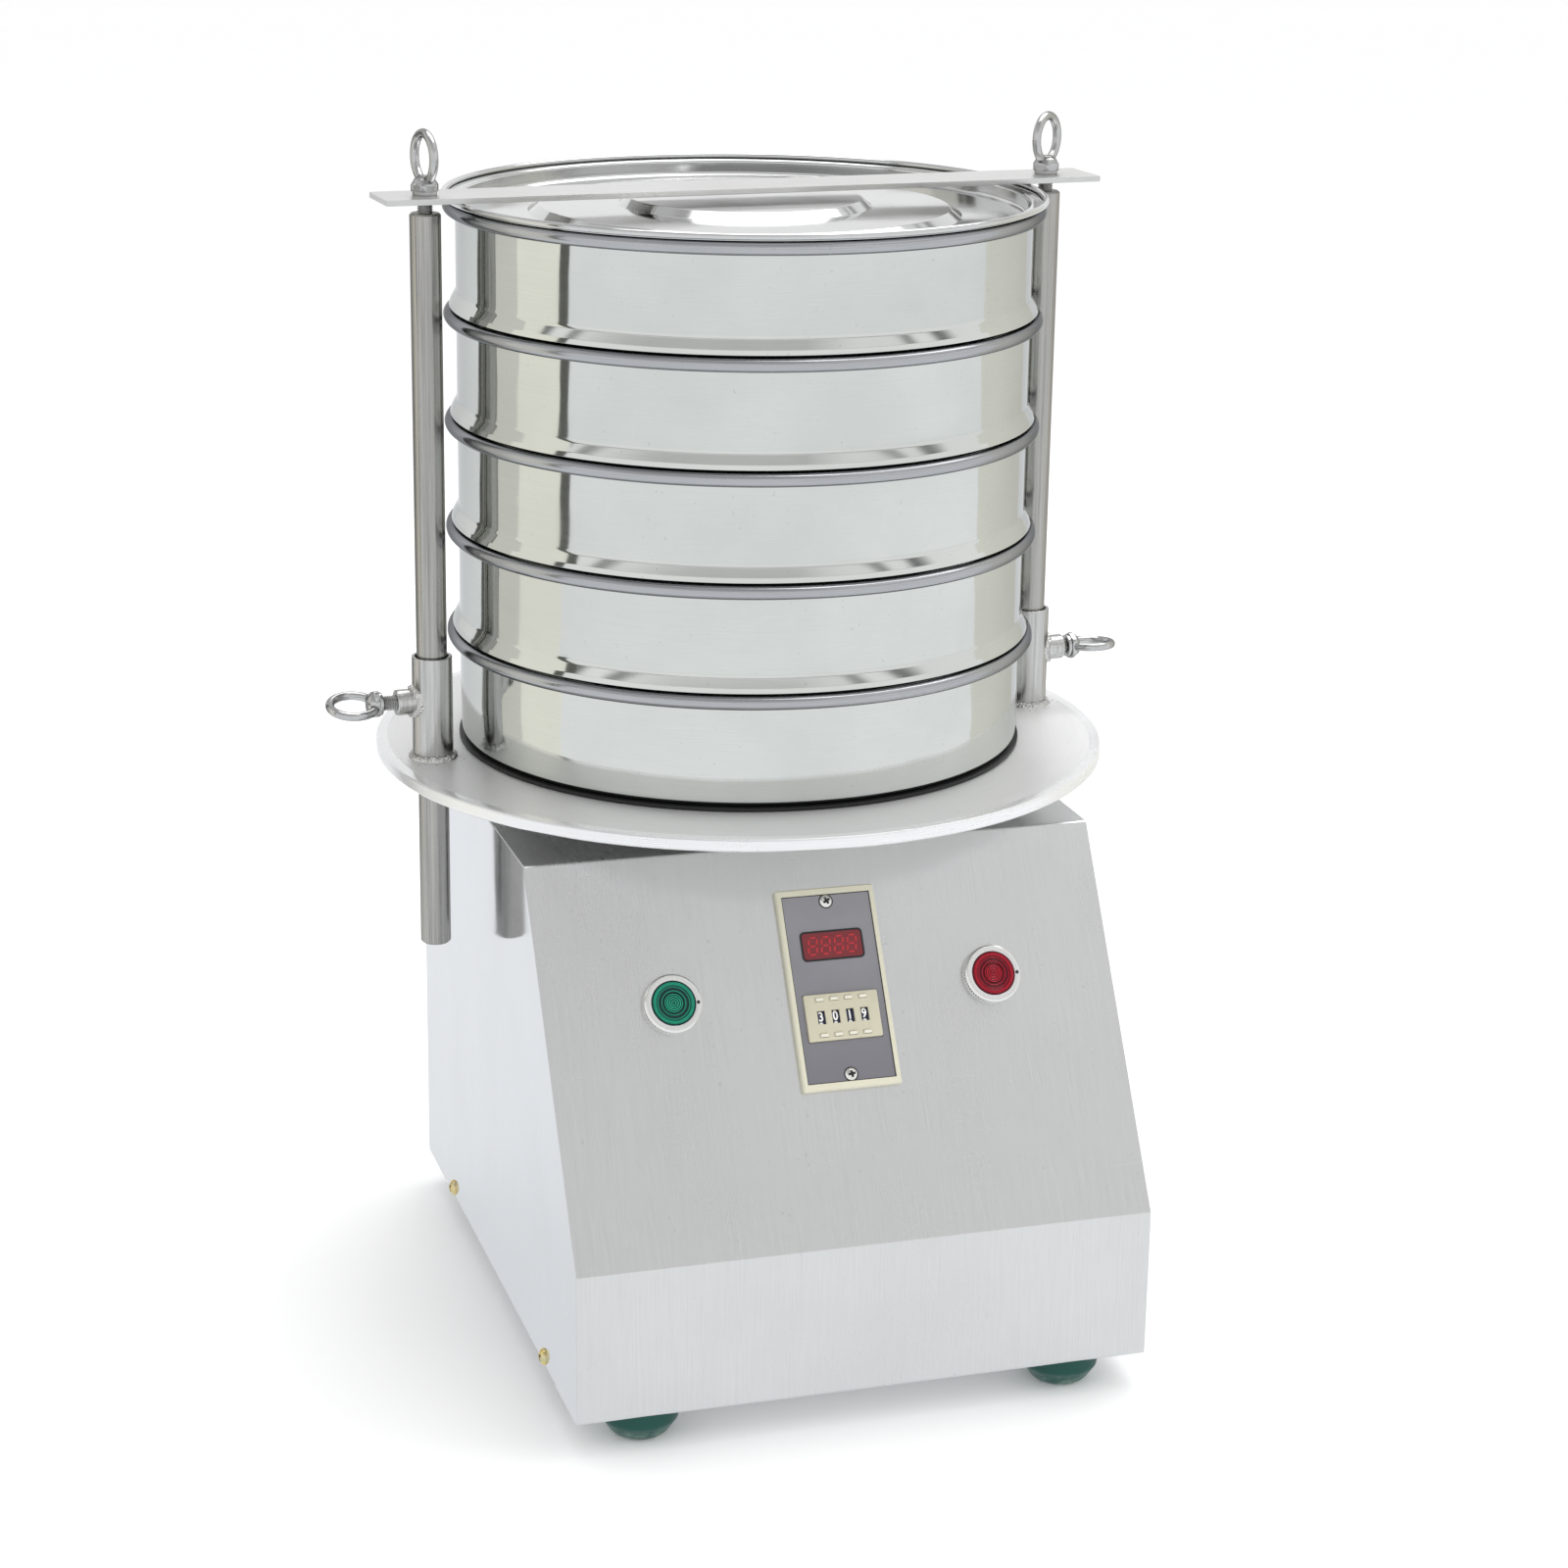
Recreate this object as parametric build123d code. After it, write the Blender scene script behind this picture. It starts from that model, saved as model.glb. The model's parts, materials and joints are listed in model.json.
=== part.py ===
from build123d import *
import math
import os

# Vibrating sieve with a stack of round sieves on a plate above a sheet-metal housing.
# Millimetres, +Z up, front towards -Y. Everything is laid out about the plate's axis
# with the floor at z = 0, and moved at the end so that the whole stands centred.

# Folded stainless housing
sheet = 1.2
bend_radius = 2.4
housing_width = 302.0
housing_depth = 360.7
housing_height = 256.4
plate_behind_middle = 61.05
slope_run = 108.6
apron_height = 79.6
bottom_return = 46.0
seam_flange = 12.0
side_screw_rise = 5.0
side_screw_inset = 70.0
side_screw_head = 9.0
side_screw_head_height = 2.6
side_screw_shank = 4.0
side_screw_length = 12.0
tray_flange = 15.0
tray_gap = 0.2

# Rubber feet
foot_height = 18.0
foot_diameter = 40.0
foot_sole = 27.0
foot_inset_x = 38.0
foot_inset_y = 23.4
foot_bolt = 6.0
foot_bolt_head = 11.0
foot_bolt_head_height = 4.0
foot_recess_depth = 8.0
foot_nut_height = 5.0

# Cable gland in the back panel
gland_inset = 56.0
gland_rise = 42.0
gland_thread = 15.2
gland_bore = 8.0
gland_hex = 19.0
gland_reach = 14.0
gland_nut_height = 4.0

# Shelf and rubber buffers that carry the moving parts
shelf_thickness = 3.0
shelf_depth = 150.0
shelf_drop = 64.4
shelf_flange = 22.0
shelf_opening = 140.0
buffer_diameter = 30.0
buffer_height = 34.0
buffer_x = 78.0
buffer_y = 52.0
buffer_stud = 8.0
buffer_stud_length = 14.0
nut_flats = 13.0
nut_height = 6.5

# Vibrating plate, its carrier and the rubber mat under the pan
plate_diameter = 392.6
plate_thickness = 6.5
plate_gap = 17.1
plate_edge = 0.8
neck_diameter = 50.0
neck_wall = 5.0
top_opening = 61.0
carrier_thickness = 6.0
carrier_width = 200.0
carrier_depth = 146.0
carrier_corner = 14.0
mat_thickness = 2.0
mat_margin = 0.9

# Vibration motor
motor_diameter = 100.0
motor_flange = 124.0
motor_flange_thickness = 8.0
motor_length = 104.0
motor_wall = 4.0
motor_bolt_circle = 104.0
motor_bolt = 8.0
motor_bolt_head_height = 5.3
fin_count = 20
fin_height = 4.0
fin_thickness = 3.0
shaft_diameter = 16.0
shaft_clearance = 0.02
shaft_below = 44.0
shaft_above = 6.0
bearing_diameter = 40.0
bearing_height = 12.0
bearing_cover = 4.0
stator_thickness = 14.0
stator_length = 50.0
air_gap = 0.6
weight_radius = 44.0
main_weight_height = 24.0
trim_weight_height = 10.0
trim_weight_turn = 40.0
weight_gap = 2.0
weight_hub = 32.0

# Clamp rods in their welded sleeves
clamp_turn = 3.6
rod_circle = 343.4
rod_diameter = 16.0
rod_length = 389.3
rod_shoulder = 285.9
rod_chamfer = 1.0
rod_fit = 0.08
stud_diameter = 8.0
stud_length = 18.5
sleeve_outer = 21.3
sleeve_height = 55.0
boss_diameter = 13.5
boss_reach = 20.0
boss_rise = 31.0
weld_leg = 3.2
screw_fit = 0.05

# Eye bolts and eye nuts
eye_inner = 20.0
eye_wire = 4.3
eye_collar = 13.5
eye_washer_height = 2.0
eye_bolt_collar_height = 7.0
eye_nut_collar_height = 8.0
eye_nut_ring_height = 18.6
eye_bolt_ring_height = 15.3
eye_tip_gap = 0.3
left_bolt_standout = 27.4
right_bolt_standout = 22.6
left_bolt_roll = 12.0
right_bolt_roll = -5.0
left_nut_turn = 8.8
right_nut_turn = -51.6

# Crossbar
bar_length = 392.0
bar_width = 35.0
bar_thickness = 3.0
bar_hole = 8.8
bar_corner = 0.8

# Pan, sieves and lid
wall_radius = 149.8
wall_thickness = 0.8
bead_reach = 7.5
bead_diameter = 7.0
stack_gap = 0.3
pan_height = 59.2
pan_corner = 4.0
pan_taper = 0.6
sieve_height = 56.3
flare_height = 9.0
flare_reach = 4.5
skirt_depth = 9.0
skirt_clearance = 0.6
cloth_thickness = 0.6
cloth_clearance = 0.8
lid_sheet = 1.0
lid_rim_reach = 8.2
lid_rim_wire = 3.2
lid_collar_clearance = 1.0
lid_depth = 8.4
lid_step = 4.0
lid_outer_step_radius = 107.0
lid_outer_step_run = 6.0
lid_inner_step_radius = 61.0
lid_inner_step_run = 5.0
lid_fold = 1.6

# Timer on the sloping panel
timer_width = 52.0
timer_height = 104.0
timer_x = 2.0
timer_drop = 76.4
timer_bezel_height = 3.7
timer_bezel_floor = 1.5
timer_border = 3.6
timer_side_border = 2.5
timer_face_thickness = 1.5
timer_body_width = 48.0
timer_body_height = 96.0
timer_body_depth = 70.0
timer_part_gap = 0.2
timer_screw_spacing = 89.6
timer_screw_head = 6.6
timer_screw_height = 1.7
timer_screw_shank = 3.0
display_width = 31.7
display_height = 14.0
display_rise = 22.0
display_corner = 1.8
display_proud = 0.3
wheel_block_width = 39.0
wheel_block_height = 24.0
wheel_block_drop = 15.0
wheel_block_proud = 1.4
wheel_block_depth = 17.0
wheel_block_edge = 0.6
wheel_pitch = 7.65
wheel_diameter = 17.6
wheel_width = 4.4
wheel_side_gap = 0.3
wheel_axle = 2.4
wheel_axle_fit = 0.05
wheel_window_width = 4.2
wheel_window_height = 7.0
wheel_window_wall = 1.0
tab_width = 4.0
tab_height = 1.7
tab_length = 3.6
tab_proud = 1.0
tab_travel = 1.0
tab_offset = 9.2
tab_gap = 0.2

# Push buttons on the sloping panel
button_spread = 85.0
button_drop = 77.0
button_ring_diameter = 30.0
button_ring_face = 27.0
button_ring_height = 5.0
button_ring_shoulder = 3.4
button_lens_diameter = 22.6
button_lens_height = 2.6
button_lens_proud = 0.4
button_lens_stem = 18.6
button_stem_length = 9.0
button_fit = 0.1
button_barrel = 22.0
button_barrel_length = 30.0
button_barrel_rise = 0.4
button_nut = 29.0
button_nut_height = 4.0
button_block_width = 22.0
button_block_height = 28.0
button_block_depth = 20.0
panel_hole_clearance = 0.1

# Levels above the floor
housing_bottom = foot_height
housing_top = housing_bottom + housing_height
plate_bottom = housing_top + plate_gap
plate_top = plate_bottom + plate_thickness
shelf_top = housing_top - shelf_drop
carrier_bottom = shelf_top + buffer_height
carrier_top = carrier_bottom + carrier_thickness
pan_bottom = plate_top + mat_thickness
pan_top = pan_bottom + pan_height
sieve_rest = [pan_top + stack_gap + i * (sieve_height + stack_gap) for i in range(4)]
lid_rest = sieve_rest[3] + sieve_height + stack_gap
lid_rim_top = lid_rest + lid_sheet / 2 + lid_rim_wire
bar_bottom = lid_rim_top + stack_gap
bar_top = bar_bottom + bar_thickness

# Housing places across its depth
housing_front = -plate_behind_middle - housing_depth / 2
housing_back = housing_front + housing_depth
top_front = housing_front + slope_run
apron_top = housing_bottom + apron_height
half_width = housing_width / 2

# Sloping panel frame: x to the right, y up the slope, z out of the panel
slope_rise = housing_top - apron_top
slope_length = math.hypot(slope_run, slope_rise)
panel_normal = (0, -slope_rise / slope_length, slope_run / slope_length)
panel = Plane(origin=(0, top_front, housing_top), x_dir=(1, 0, 0), z_dir=panel_normal)
timer_place = panel.location * Pos(timer_x, -timer_drop, 0)
wheel_block_place = timer_place * Pos(0, -wheel_block_drop, 0)
display_place = timer_place * Pos(0, display_rise, 0)


def offset_path(points, distance):
    """The open path of straight runs, moved to its left by a distance."""
    normals = []
    for start, end in zip(points, points[1:]):
        run = (end[0] - start[0], end[1] - start[1])
        length = math.hypot(*run)
        normals.append((-run[1] / length, run[0] / length))
    moved = []
    for index, point in enumerate(points):
        before = normals[max(index - 1, 0)]
        after = normals[min(index, len(normals) - 1)]
        share = distance / (1 + before[0] * after[0] + before[1] * after[1])
        moved.append((point[0] + share * (before[0] + after[0]), point[1] + share * (before[1] + after[1])))
    return moved


def sheet_section(points, thickness, outer_fold, inner_fold):
    """The section of a folded sheet that lies to the left of a path."""
    outer = FilletPolyline(*points, radius=outer_fold)
    inner = FilletPolyline(*offset_path(points, thickness), radius=inner_fold)
    ends = [Line(outer @ 1, inner @ 1).edge(), Line(inner @ 0, outer @ 0).edge()]
    return make_face(list(outer.edges()) + list(inner.edges()) + ends)


def folded_sheet(points, thickness):
    """The section of a housing sheet with its bends."""
    return sheet_section(points, thickness, bend_radius, bend_radius - thickness)


def across(section, width):
    """A (y, z) section extruded across the housing, centred on it."""
    return extrude(Plane.YZ * section, amount=width / 2, both=True)


def turned(points, folds=0):
    """A solid of revolution about Z from (radius, z) corners."""
    outline = FilletPolyline(*points, radius=folds, close=True)
    return revolve(Plane.XZ * make_face(outline.edges()), Axis.Z)


def peg(diameter, length, base=0):
    """A round bar on Z that starts at a level."""
    return Pos(0, 0, base) * extrude(Circle(diameter / 2), amount=length)


def hexagon(flats, height, base=0):
    """A six-sided bar on Z that starts at a level."""
    return Pos(0, 0, base) * extrude(RegularPolygon(flats / 2, 6, major_radius=False), amount=height)


def block(width, height, depth, base=0, corner=0):
    """A rounded rectangle on XY, raised along Z from a level."""
    outline = RectangleRounded(width, height, corner) if corner else Rectangle(width, height)
    return Pos(0, 0, base) * extrude(outline, amount=depth)


def along_x(solid):
    """A shape made about Z, laid down so that its Z points along +X."""
    return Rot(0, 90, 0) * solid


def clamp_side(side):
    """Frame of one clamp rod: origin on the rod's axis, +X outwards from the plate."""
    return Rot(0, 0, clamp_turn + (0 if side > 0 else 180)) * Pos(rod_circle / 2, 0, 0)


def corner_places(x, y):
    """The four corners of a rectangle about the plate's axis."""
    return [(sx * x, sy * y) for sx in (-1, 1) for sy in (-1, 1)]


def foot_places():
    """The feet stand the same distance in from the front and the back."""
    x = half_width - foot_inset_x
    ends = (housing_front + foot_inset_y, housing_back - foot_inset_y)
    return [(side * x, y) for side in (-1, 1) for y in ends]


def side_screw_ends():
    """Places of the two screws along the bottom edge of a side panel."""
    return (housing_front + side_screw_inset, housing_back - side_screw_inset)


def side_screw_places():
    """Side and place of each side screw."""
    return [(side, y) for side in (-1, 1) for y in side_screw_ends()]


def cover_path():
    """Outside of the top, slope and apron with the return under the apron, as (y, z)."""
    return [
        (housing_back, housing_top),
        (top_front, housing_top),
        (housing_front, apron_top),
        (housing_front, housing_bottom),
        (housing_front + bottom_return, housing_bottom),
    ]


def make_front_cover():
    """One folded sheet: top, sloping panel and apron, with the openings for what passes."""
    cover = across(folded_sheet(cover_path(), sheet), housing_width)
    cover -= peg(top_opening, 4 * sheet, housing_top - 2 * sheet)
    body_cut = 2 * timer_part_gap
    timer_hole = block(timer_body_width + body_cut, timer_body_height + body_cut, 4 * sheet, -2 * sheet)
    cover -= timer_place * timer_hole
    for side in (-1, 1):
        hole = peg(button_barrel + 2 * panel_hole_clearance, 4 * sheet, -2 * sheet)
        cover -= panel.location * Pos(side * button_spread, -button_drop, 0) * hole
    for x, y in foot_places():
        cover -= Pos(x, y, housing_bottom - sheet) * peg(foot_bolt, 3 * sheet)
    return cover


def make_side_panel(side):
    """A side sheet under the cover's edge, with a flange that the cover is welded to."""
    rim = offset_path(cover_path(), sheet)
    rim[0] = (housing_back - sheet, rim[0][1])
    rim[-1] = (housing_back - sheet, rim[-1][1])
    outline = FilletPolyline(*rim, radius=[0] + [bend_radius - sheet] * 4, close=True)
    wall = extrude(Plane.YZ * make_face(outline.edges()), amount=sheet)
    flange_path = offset_path(cover_path(), sheet)[:4]
    flange_path[0] = (housing_back - 2 * sheet, flange_path[0][1])
    flange_path[3] = (flange_path[3][0], flange_path[3][1] + tray_flange + sheet)
    flange_section = sheet_section(flange_path, sheet, bend_radius - sheet, 0)
    flange = extrude(Plane.YZ * flange_section, amount=seam_flange)
    holes = Part()
    for y in side_screw_ends():
        centre = Pos(0, y, housing_bottom + side_screw_rise)
        holes += centre * along_x(peg(side_screw_shank, 4 * sheet, -sheet))
    if side > 0:
        return Pos(half_width - sheet, 0, 0) * wall + Pos(half_width - seam_flange, 0, 0) * flange \
            - Pos(half_width - sheet, 0, 0) * holes
    return Pos(-half_width, 0, 0) * (wall + flange - holes)


def make_back_panel():
    """The plain back sheet with its return under the feet and the gland hole."""
    path = [
        (housing_back - bottom_return, housing_bottom),
        (housing_back, housing_bottom),
        (housing_back, housing_top - sheet),
    ]
    back = across(folded_sheet(path, sheet), housing_width)
    back -= gland_place() * peg(gland_thread + 2 * panel_hole_clearance, 4 * sheet, -2 * sheet)
    for x, y in foot_places():
        back -= Pos(x, y, housing_bottom - sheet) * peg(foot_bolt, 3 * sheet)
    return back


def make_bottom_plate():
    """A tray between the side panels, held by the side screws and the feet."""
    floor = housing_bottom + sheet
    half = half_width - sheet - tray_gap
    path = [(-half, floor + tray_flange), (-half, floor), (half, floor), (half, floor + tray_flange)]
    length = housing_depth - 2 * sheet - 2 * tray_gap - 2 * seam_flange
    middle = (housing_front + housing_back) / 2
    tray = extrude(Plane.XZ * folded_sheet(path, sheet), amount=length / 2, both=True)
    tray = Pos(0, middle, 0) * tray
    for x, y in foot_places():
        tray -= Pos(x, y, floor - sheet) * peg(foot_bolt, 3 * sheet)
    for side, y in side_screw_places():
        centre = Pos(side * half_width, y, housing_bottom + side_screw_rise)
        tray -= centre * along_x(peg(side_screw_shank, 8 * sheet, -4 * sheet))
    return tray


def make_side_screws():
    """Pan-head screws through the side panels into the tray's flanges."""
    head = turned(
        [
            (0, 0),
            (side_screw_head / 2, 0),
            (side_screw_head / 2, side_screw_head_height / 3),
            (side_screw_head / 4, side_screw_head_height),
            (0, side_screw_head_height),
        ],
        [0, 0, side_screw_head_height / 2, side_screw_head_height / 3, 0],
    )
    screw = head + peg(side_screw_shank, side_screw_length, -side_screw_length)
    screws = []
    for side, y in side_screw_places():
        place = Pos(side * half_width, y, housing_bottom + side_screw_rise)
        screws.append(place * Rot(0, 90 * side, 0) * screw)
    return screws


def make_rubber_feet():
    """Domed rubber feet with a recess for the bolt head."""
    bolt_hole = foot_bolt / 2
    recess = foot_bolt_head / 2 + 1
    foot = turned(
        [
            (recess, 0),
            (foot_sole / 2, 0),
            (foot_diameter / 2, foot_height * 0.55),
            (foot_diameter / 2, foot_height),
            (bolt_hole, foot_height),
            (bolt_hole, foot_recess_depth),
            (recess, foot_recess_depth),
        ],
        [0, foot_height * 0.4, foot_height * 0.3, 1, 0, 0, 0],
    )
    return [Pos(x, y, 0) * foot for x, y in foot_places()]


def make_foot_fasteners():
    """A bolt up through each foot, with its nut on the tray."""
    head_bottom = foot_recess_depth - foot_bolt_head_height
    nut_bottom = foot_height + 2 * sheet
    bolt = peg(foot_bolt_head, foot_bolt_head_height, head_bottom)
    bolt += peg(foot_bolt, nut_bottom + foot_nut_height + 2 - foot_recess_depth, foot_recess_depth)
    nut = hexagon(foot_bolt_head - 1, foot_nut_height, nut_bottom)
    nut -= peg(foot_bolt, foot_nut_height, nut_bottom)
    fasteners = []
    for x, y in foot_places():
        fasteners.append(Pos(x, y, 0) * bolt)
        fasteners.append(Pos(x, y, 0) * nut)
    return fasteners


def gland_place():
    """Frame of the cable gland: origin on the back panel, +Z pointing out of it."""
    return Pos(half_width - gland_inset, housing_back, housing_bottom + gland_rise) * Rot(-90, 0, 0)


def make_cable_gland():
    """A gland with a clamping cap outside the back panel and a lock nut inside."""
    bore = gland_bore / 2
    thread = gland_thread / 2
    cap = thread * 1.08
    body = turned(
        [
            (bore, -sheet - gland_nut_height - 3),
            (thread, -sheet - gland_nut_height - 3),
            (thread, gland_reach * 0.35),
            (cap, gland_reach * 0.35),
            (cap, gland_reach * 0.7),
            (bore + 1.5, gland_reach),
            (bore, gland_reach),
        ],
        [0, 0, 0, 0, gland_reach * 0.3, 0, 0],
    )
    body += hexagon(gland_hex, gland_reach * 0.35) - peg(gland_thread, gland_reach)
    nut = hexagon(gland_hex, gland_nut_height, -sheet - gland_nut_height)
    nut -= peg(gland_thread, 3 * gland_nut_height, -2 * gland_nut_height - sheet)
    return [gland_place() * body, gland_place() * nut]


def make_motor_shelf():
    """A folded shelf between the side panels with an opening for the motor."""
    half = half_width - sheet
    low = shelf_top - shelf_flange
    path = [(half, low), (half, shelf_top), (-half, shelf_top), (-half, low)]
    section = sheet_section(path, shelf_thickness, shelf_thickness * 1.5, shelf_thickness / 2)
    shelf = extrude(Plane.XZ * section, amount=shelf_depth / 2, both=True)
    shelf -= peg(shelf_opening, 3 * shelf_thickness, shelf_top - 2 * shelf_thickness)
    for x, y in corner_places(buffer_x, buffer_y):
        shelf -= Pos(x, y, 0) * peg(buffer_stud, 3 * shelf_thickness, shelf_top - 2 * shelf_thickness)
    return shelf


def make_rubber_buffers():
    """Waisted rubber buffers that carry the carrier plate."""
    radius = buffer_diameter / 2
    buffer = turned(
        [
            (0, 0),
            (radius, 0),
            (radius, buffer_height * 0.2),
            (radius * 0.86, buffer_height * 0.5),
            (radius, buffer_height * 0.8),
            (radius, buffer_height),
            (0, buffer_height),
        ],
        [0, 0, 3, 8, 3, 0, 0],
    )
    return [Pos(x, y, shelf_top) * buffer for x, y in corner_places(buffer_x, buffer_y)]


def make_buffer_fasteners():
    """Studs of the buffers under the shelf, with their nuts."""
    fastener = peg(buffer_stud, buffer_stud_length, -buffer_stud_length)
    nut = hexagon(nut_flats, nut_height, -shelf_thickness - nut_height)
    fastener += nut
    return [Pos(x, y, shelf_top) * fastener for x, y in corner_places(buffer_x, buffer_y)]


def motor_bolt_places():
    """Bolt centres of the motor flange."""
    return corner_places(*[motor_bolt_circle / 2 * math.cos(math.radians(45))] * 2)


def make_motor_carrier():
    """Neck under the vibrating plate, welded to the plate that the buffers carry."""
    carrier = block(carrier_width, carrier_depth, carrier_thickness, carrier_bottom, carrier_corner)
    carrier += peg(neck_diameter, plate_bottom - carrier_top, carrier_top)
    carrier -= peg(neck_diameter - 2 * neck_wall, plate_bottom - carrier_bottom, carrier_bottom)
    for x, y in corner_places(buffer_x, buffer_y) + motor_bolt_places():
        stud_hole = peg(buffer_stud, 2 * carrier_thickness, carrier_bottom - carrier_thickness / 2)
        carrier -= Pos(x, y, 0) * stud_hole
    return carrier


def make_carrier_fasteners():
    """Buffer studs with nuts, and the bolts that hold the motor's flange."""
    stud = peg(buffer_stud, buffer_stud_length, carrier_bottom)
    stud += hexagon(nut_flats, nut_height, carrier_top)
    bolt = hexagon(nut_flats, motor_bolt_head_height, carrier_top)
    bolt_length = carrier_thickness + motor_flange_thickness
    bolt += peg(motor_bolt, bolt_length, carrier_bottom - motor_flange_thickness)
    fasteners = [Pos(x, y, 0) * stud for x, y in corner_places(buffer_x, buffer_y)]
    fasteners += [Pos(x, y, 0) * bolt for x, y in motor_bolt_places()]
    return fasteners


def make_motor_housing():
    """Finned motor shell with its flange, bearing seats, end cap and stator."""
    top = carrier_bottom
    bottom = top - motor_length
    outer = motor_diameter / 2
    inner = outer - motor_wall
    seat = bearing_diameter / 2
    eye = shaft_diameter / 2 + 4
    seat_wall = seat + motor_wall
    upper_seat = top - bearing_cover - bearing_height
    lower_seat = bottom + bearing_cover + bearing_height
    shell = turned(
        [
            (eye, top),
            (motor_flange / 2, top),
            (motor_flange / 2, top - motor_flange_thickness),
            (outer, top - motor_flange_thickness),
            (outer, bottom),
            (eye, bottom),
            (eye, bottom + bearing_cover),
            (seat, bottom + bearing_cover),
            (seat, lower_seat),
            (seat_wall, lower_seat),
            (seat_wall, bottom + 2 * bearing_cover),
            (inner, bottom + 2 * bearing_cover),
            (inner, top - 2 * bearing_cover),
            (seat_wall, top - 2 * bearing_cover),
            (seat_wall, upper_seat),
            (seat, upper_seat),
            (seat, top - bearing_cover),
            (eye, top - bearing_cover),
        ]
    )
    middle = (top + bottom) / 2
    shell += peg(2 * inner, stator_length, middle - stator_length / 2)
    shell -= peg(2 * (inner - stator_thickness), stator_length, middle - stator_length / 2)
    fin_width = fin_height + motor_wall / 2
    fin = block(fin_width, fin_thickness, motor_length * 0.72, bottom + motor_length * 0.1)
    for index in range(fin_count):
        turn = Rot(0, 0, 360 / fin_count * index)
        shell += turn * Pos(outer + fin_height / 2 - motor_wall / 4, 0, 0) * fin
    for x, y in motor_bolt_places():
        bolt_hole = peg(motor_bolt, 2 * motor_flange_thickness, top - 1.5 * motor_flange_thickness)
        shell -= Pos(x, y, 0) * bolt_hole
    return shell


def make_motor_bearings():
    """Two bearing rings in the motor's seats."""
    bore = shaft_diameter / 2 + shaft_clearance
    ring = turned(
        [
            (bore, 0),
            (bearing_diameter / 2, 0),
            (bearing_diameter / 2, bearing_height),
            (bore, bearing_height),
        ]
    )
    top = carrier_bottom
    return [
        Pos(0, 0, top - bearing_cover - bearing_height) * ring,
        Pos(0, 0, top - motor_length + bearing_cover) * ring,
    ]


def make_rotor_shaft():
    """The motor's shaft with its core between the stator's faces."""
    top = carrier_bottom
    middle = top - motor_length / 2
    core = motor_diameter / 2 - motor_wall - stator_thickness - air_gap
    shaft = peg(shaft_diameter, motor_length + shaft_below + shaft_above, top - motor_length - shaft_below)
    return shaft + peg(2 * core, stator_length, middle - stator_length / 2)


def eccentric_weight(radius, height):
    """A half disc with a round hub, on the shaft's axis."""
    sector = Circle(radius) & Pos(0, -radius / 2, 0) * Rectangle(2 * radius, radius)
    outline = sector + Circle(weight_hub / 2) - Circle(shaft_diameter / 2)
    return extrude(outline, amount=height)


def make_eccentric_weights():
    """A main weight and a trim weight, which is turned on the shaft to set the throw."""
    main = eccentric_weight(weight_radius, main_weight_height)
    trim = eccentric_weight(weight_radius, trim_weight_height)
    trim_base = carrier_bottom - motor_length - shaft_below + weight_gap
    main_base = trim_base + trim_weight_height
    return [Pos(0, 0, main_base) * main, Pos(0, 0, trim_base) * Rot(0, 0, trim_weight_turn) * trim]


def make_vibrating_plate():
    """The round plate with broken edges and the two holes for the clamp rods."""
    radius = plate_diameter / 2
    plate = turned(
        [
            (0, plate_bottom),
            (radius - plate_edge, plate_bottom),
            (radius, plate_bottom + plate_edge),
            (radius, plate_top - plate_edge),
            (radius - plate_edge, plate_top),
            (0, plate_top),
        ]
    )
    for side in (-1, 1):
        rod_hole = peg(rod_diameter + 2 * rod_fit, 3 * plate_thickness, plate_bottom - plate_thickness)
        plate -= clamp_side(side) * rod_hole
    return plate


def make_clamp_sleeves():
    """Pipe sleeves with a threaded side boss, welded upright on the plate."""
    outer = sleeve_outer / 2
    sleeve = peg(sleeve_outer, sleeve_height)
    boss = Pos(0, 0, boss_rise) * along_x(peg(boss_diameter, boss_reach))
    weld_outline = [(outer - 1, 0), (outer + weld_leg, 0), (outer - 1, weld_leg + 1)]
    foot_weld = turned(weld_outline, [0, weld_leg * 0.2, 0])
    boss_weld = Pos(0, 0, boss_rise) * along_x(
        turned(
            [
                (boss_diameter / 2 - 1, outer - 3),
                (boss_diameter / 2 + weld_leg * 0.7, outer - 3),
                (boss_diameter / 2 + weld_leg * 0.7, outer - 0.5),
                (boss_diameter / 2 - 1, outer + weld_leg * 0.9),
            ],
            [0, 0, 1, 0],
        )
    )
    sleeve += boss + boss_weld + foot_weld
    sleeve -= peg(rod_diameter + 2 * rod_fit, sleeve_height)
    screw_hole = peg(stud_diameter + 2 * screw_fit, boss_reach)
    sleeve -= Pos(0, 0, boss_rise) * along_x(screw_hole)
    return [clamp_side(side) * Pos(0, 0, plate_top) * sleeve for side in (-1, 1)]


def make_pan_mat():
    """A round rubber mat between the plate and the pan."""
    return peg(2 * (wall_radius + wall_thickness + mat_margin), mat_thickness, plate_top)


def make_clamp_rod(side):
    """A round rod with a stud at its top."""
    shoulder = plate_top + rod_shoulder
    radius = rod_diameter / 2
    stud = stud_diameter / 2
    rod = turned(
        [
            (0, shoulder - rod_length),
            (radius - rod_chamfer, shoulder - rod_length),
            (radius, shoulder - rod_length + rod_chamfer),
            (radius, shoulder - rod_chamfer),
            (radius - rod_chamfer, shoulder),
            (stud, shoulder),
            (stud, shoulder + stud_length - rod_chamfer / 2),
            (stud - rod_chamfer / 2, shoulder + stud_length),
            (0, shoulder + stud_length),
        ]
    )
    return clamp_side(side) * rod


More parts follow.
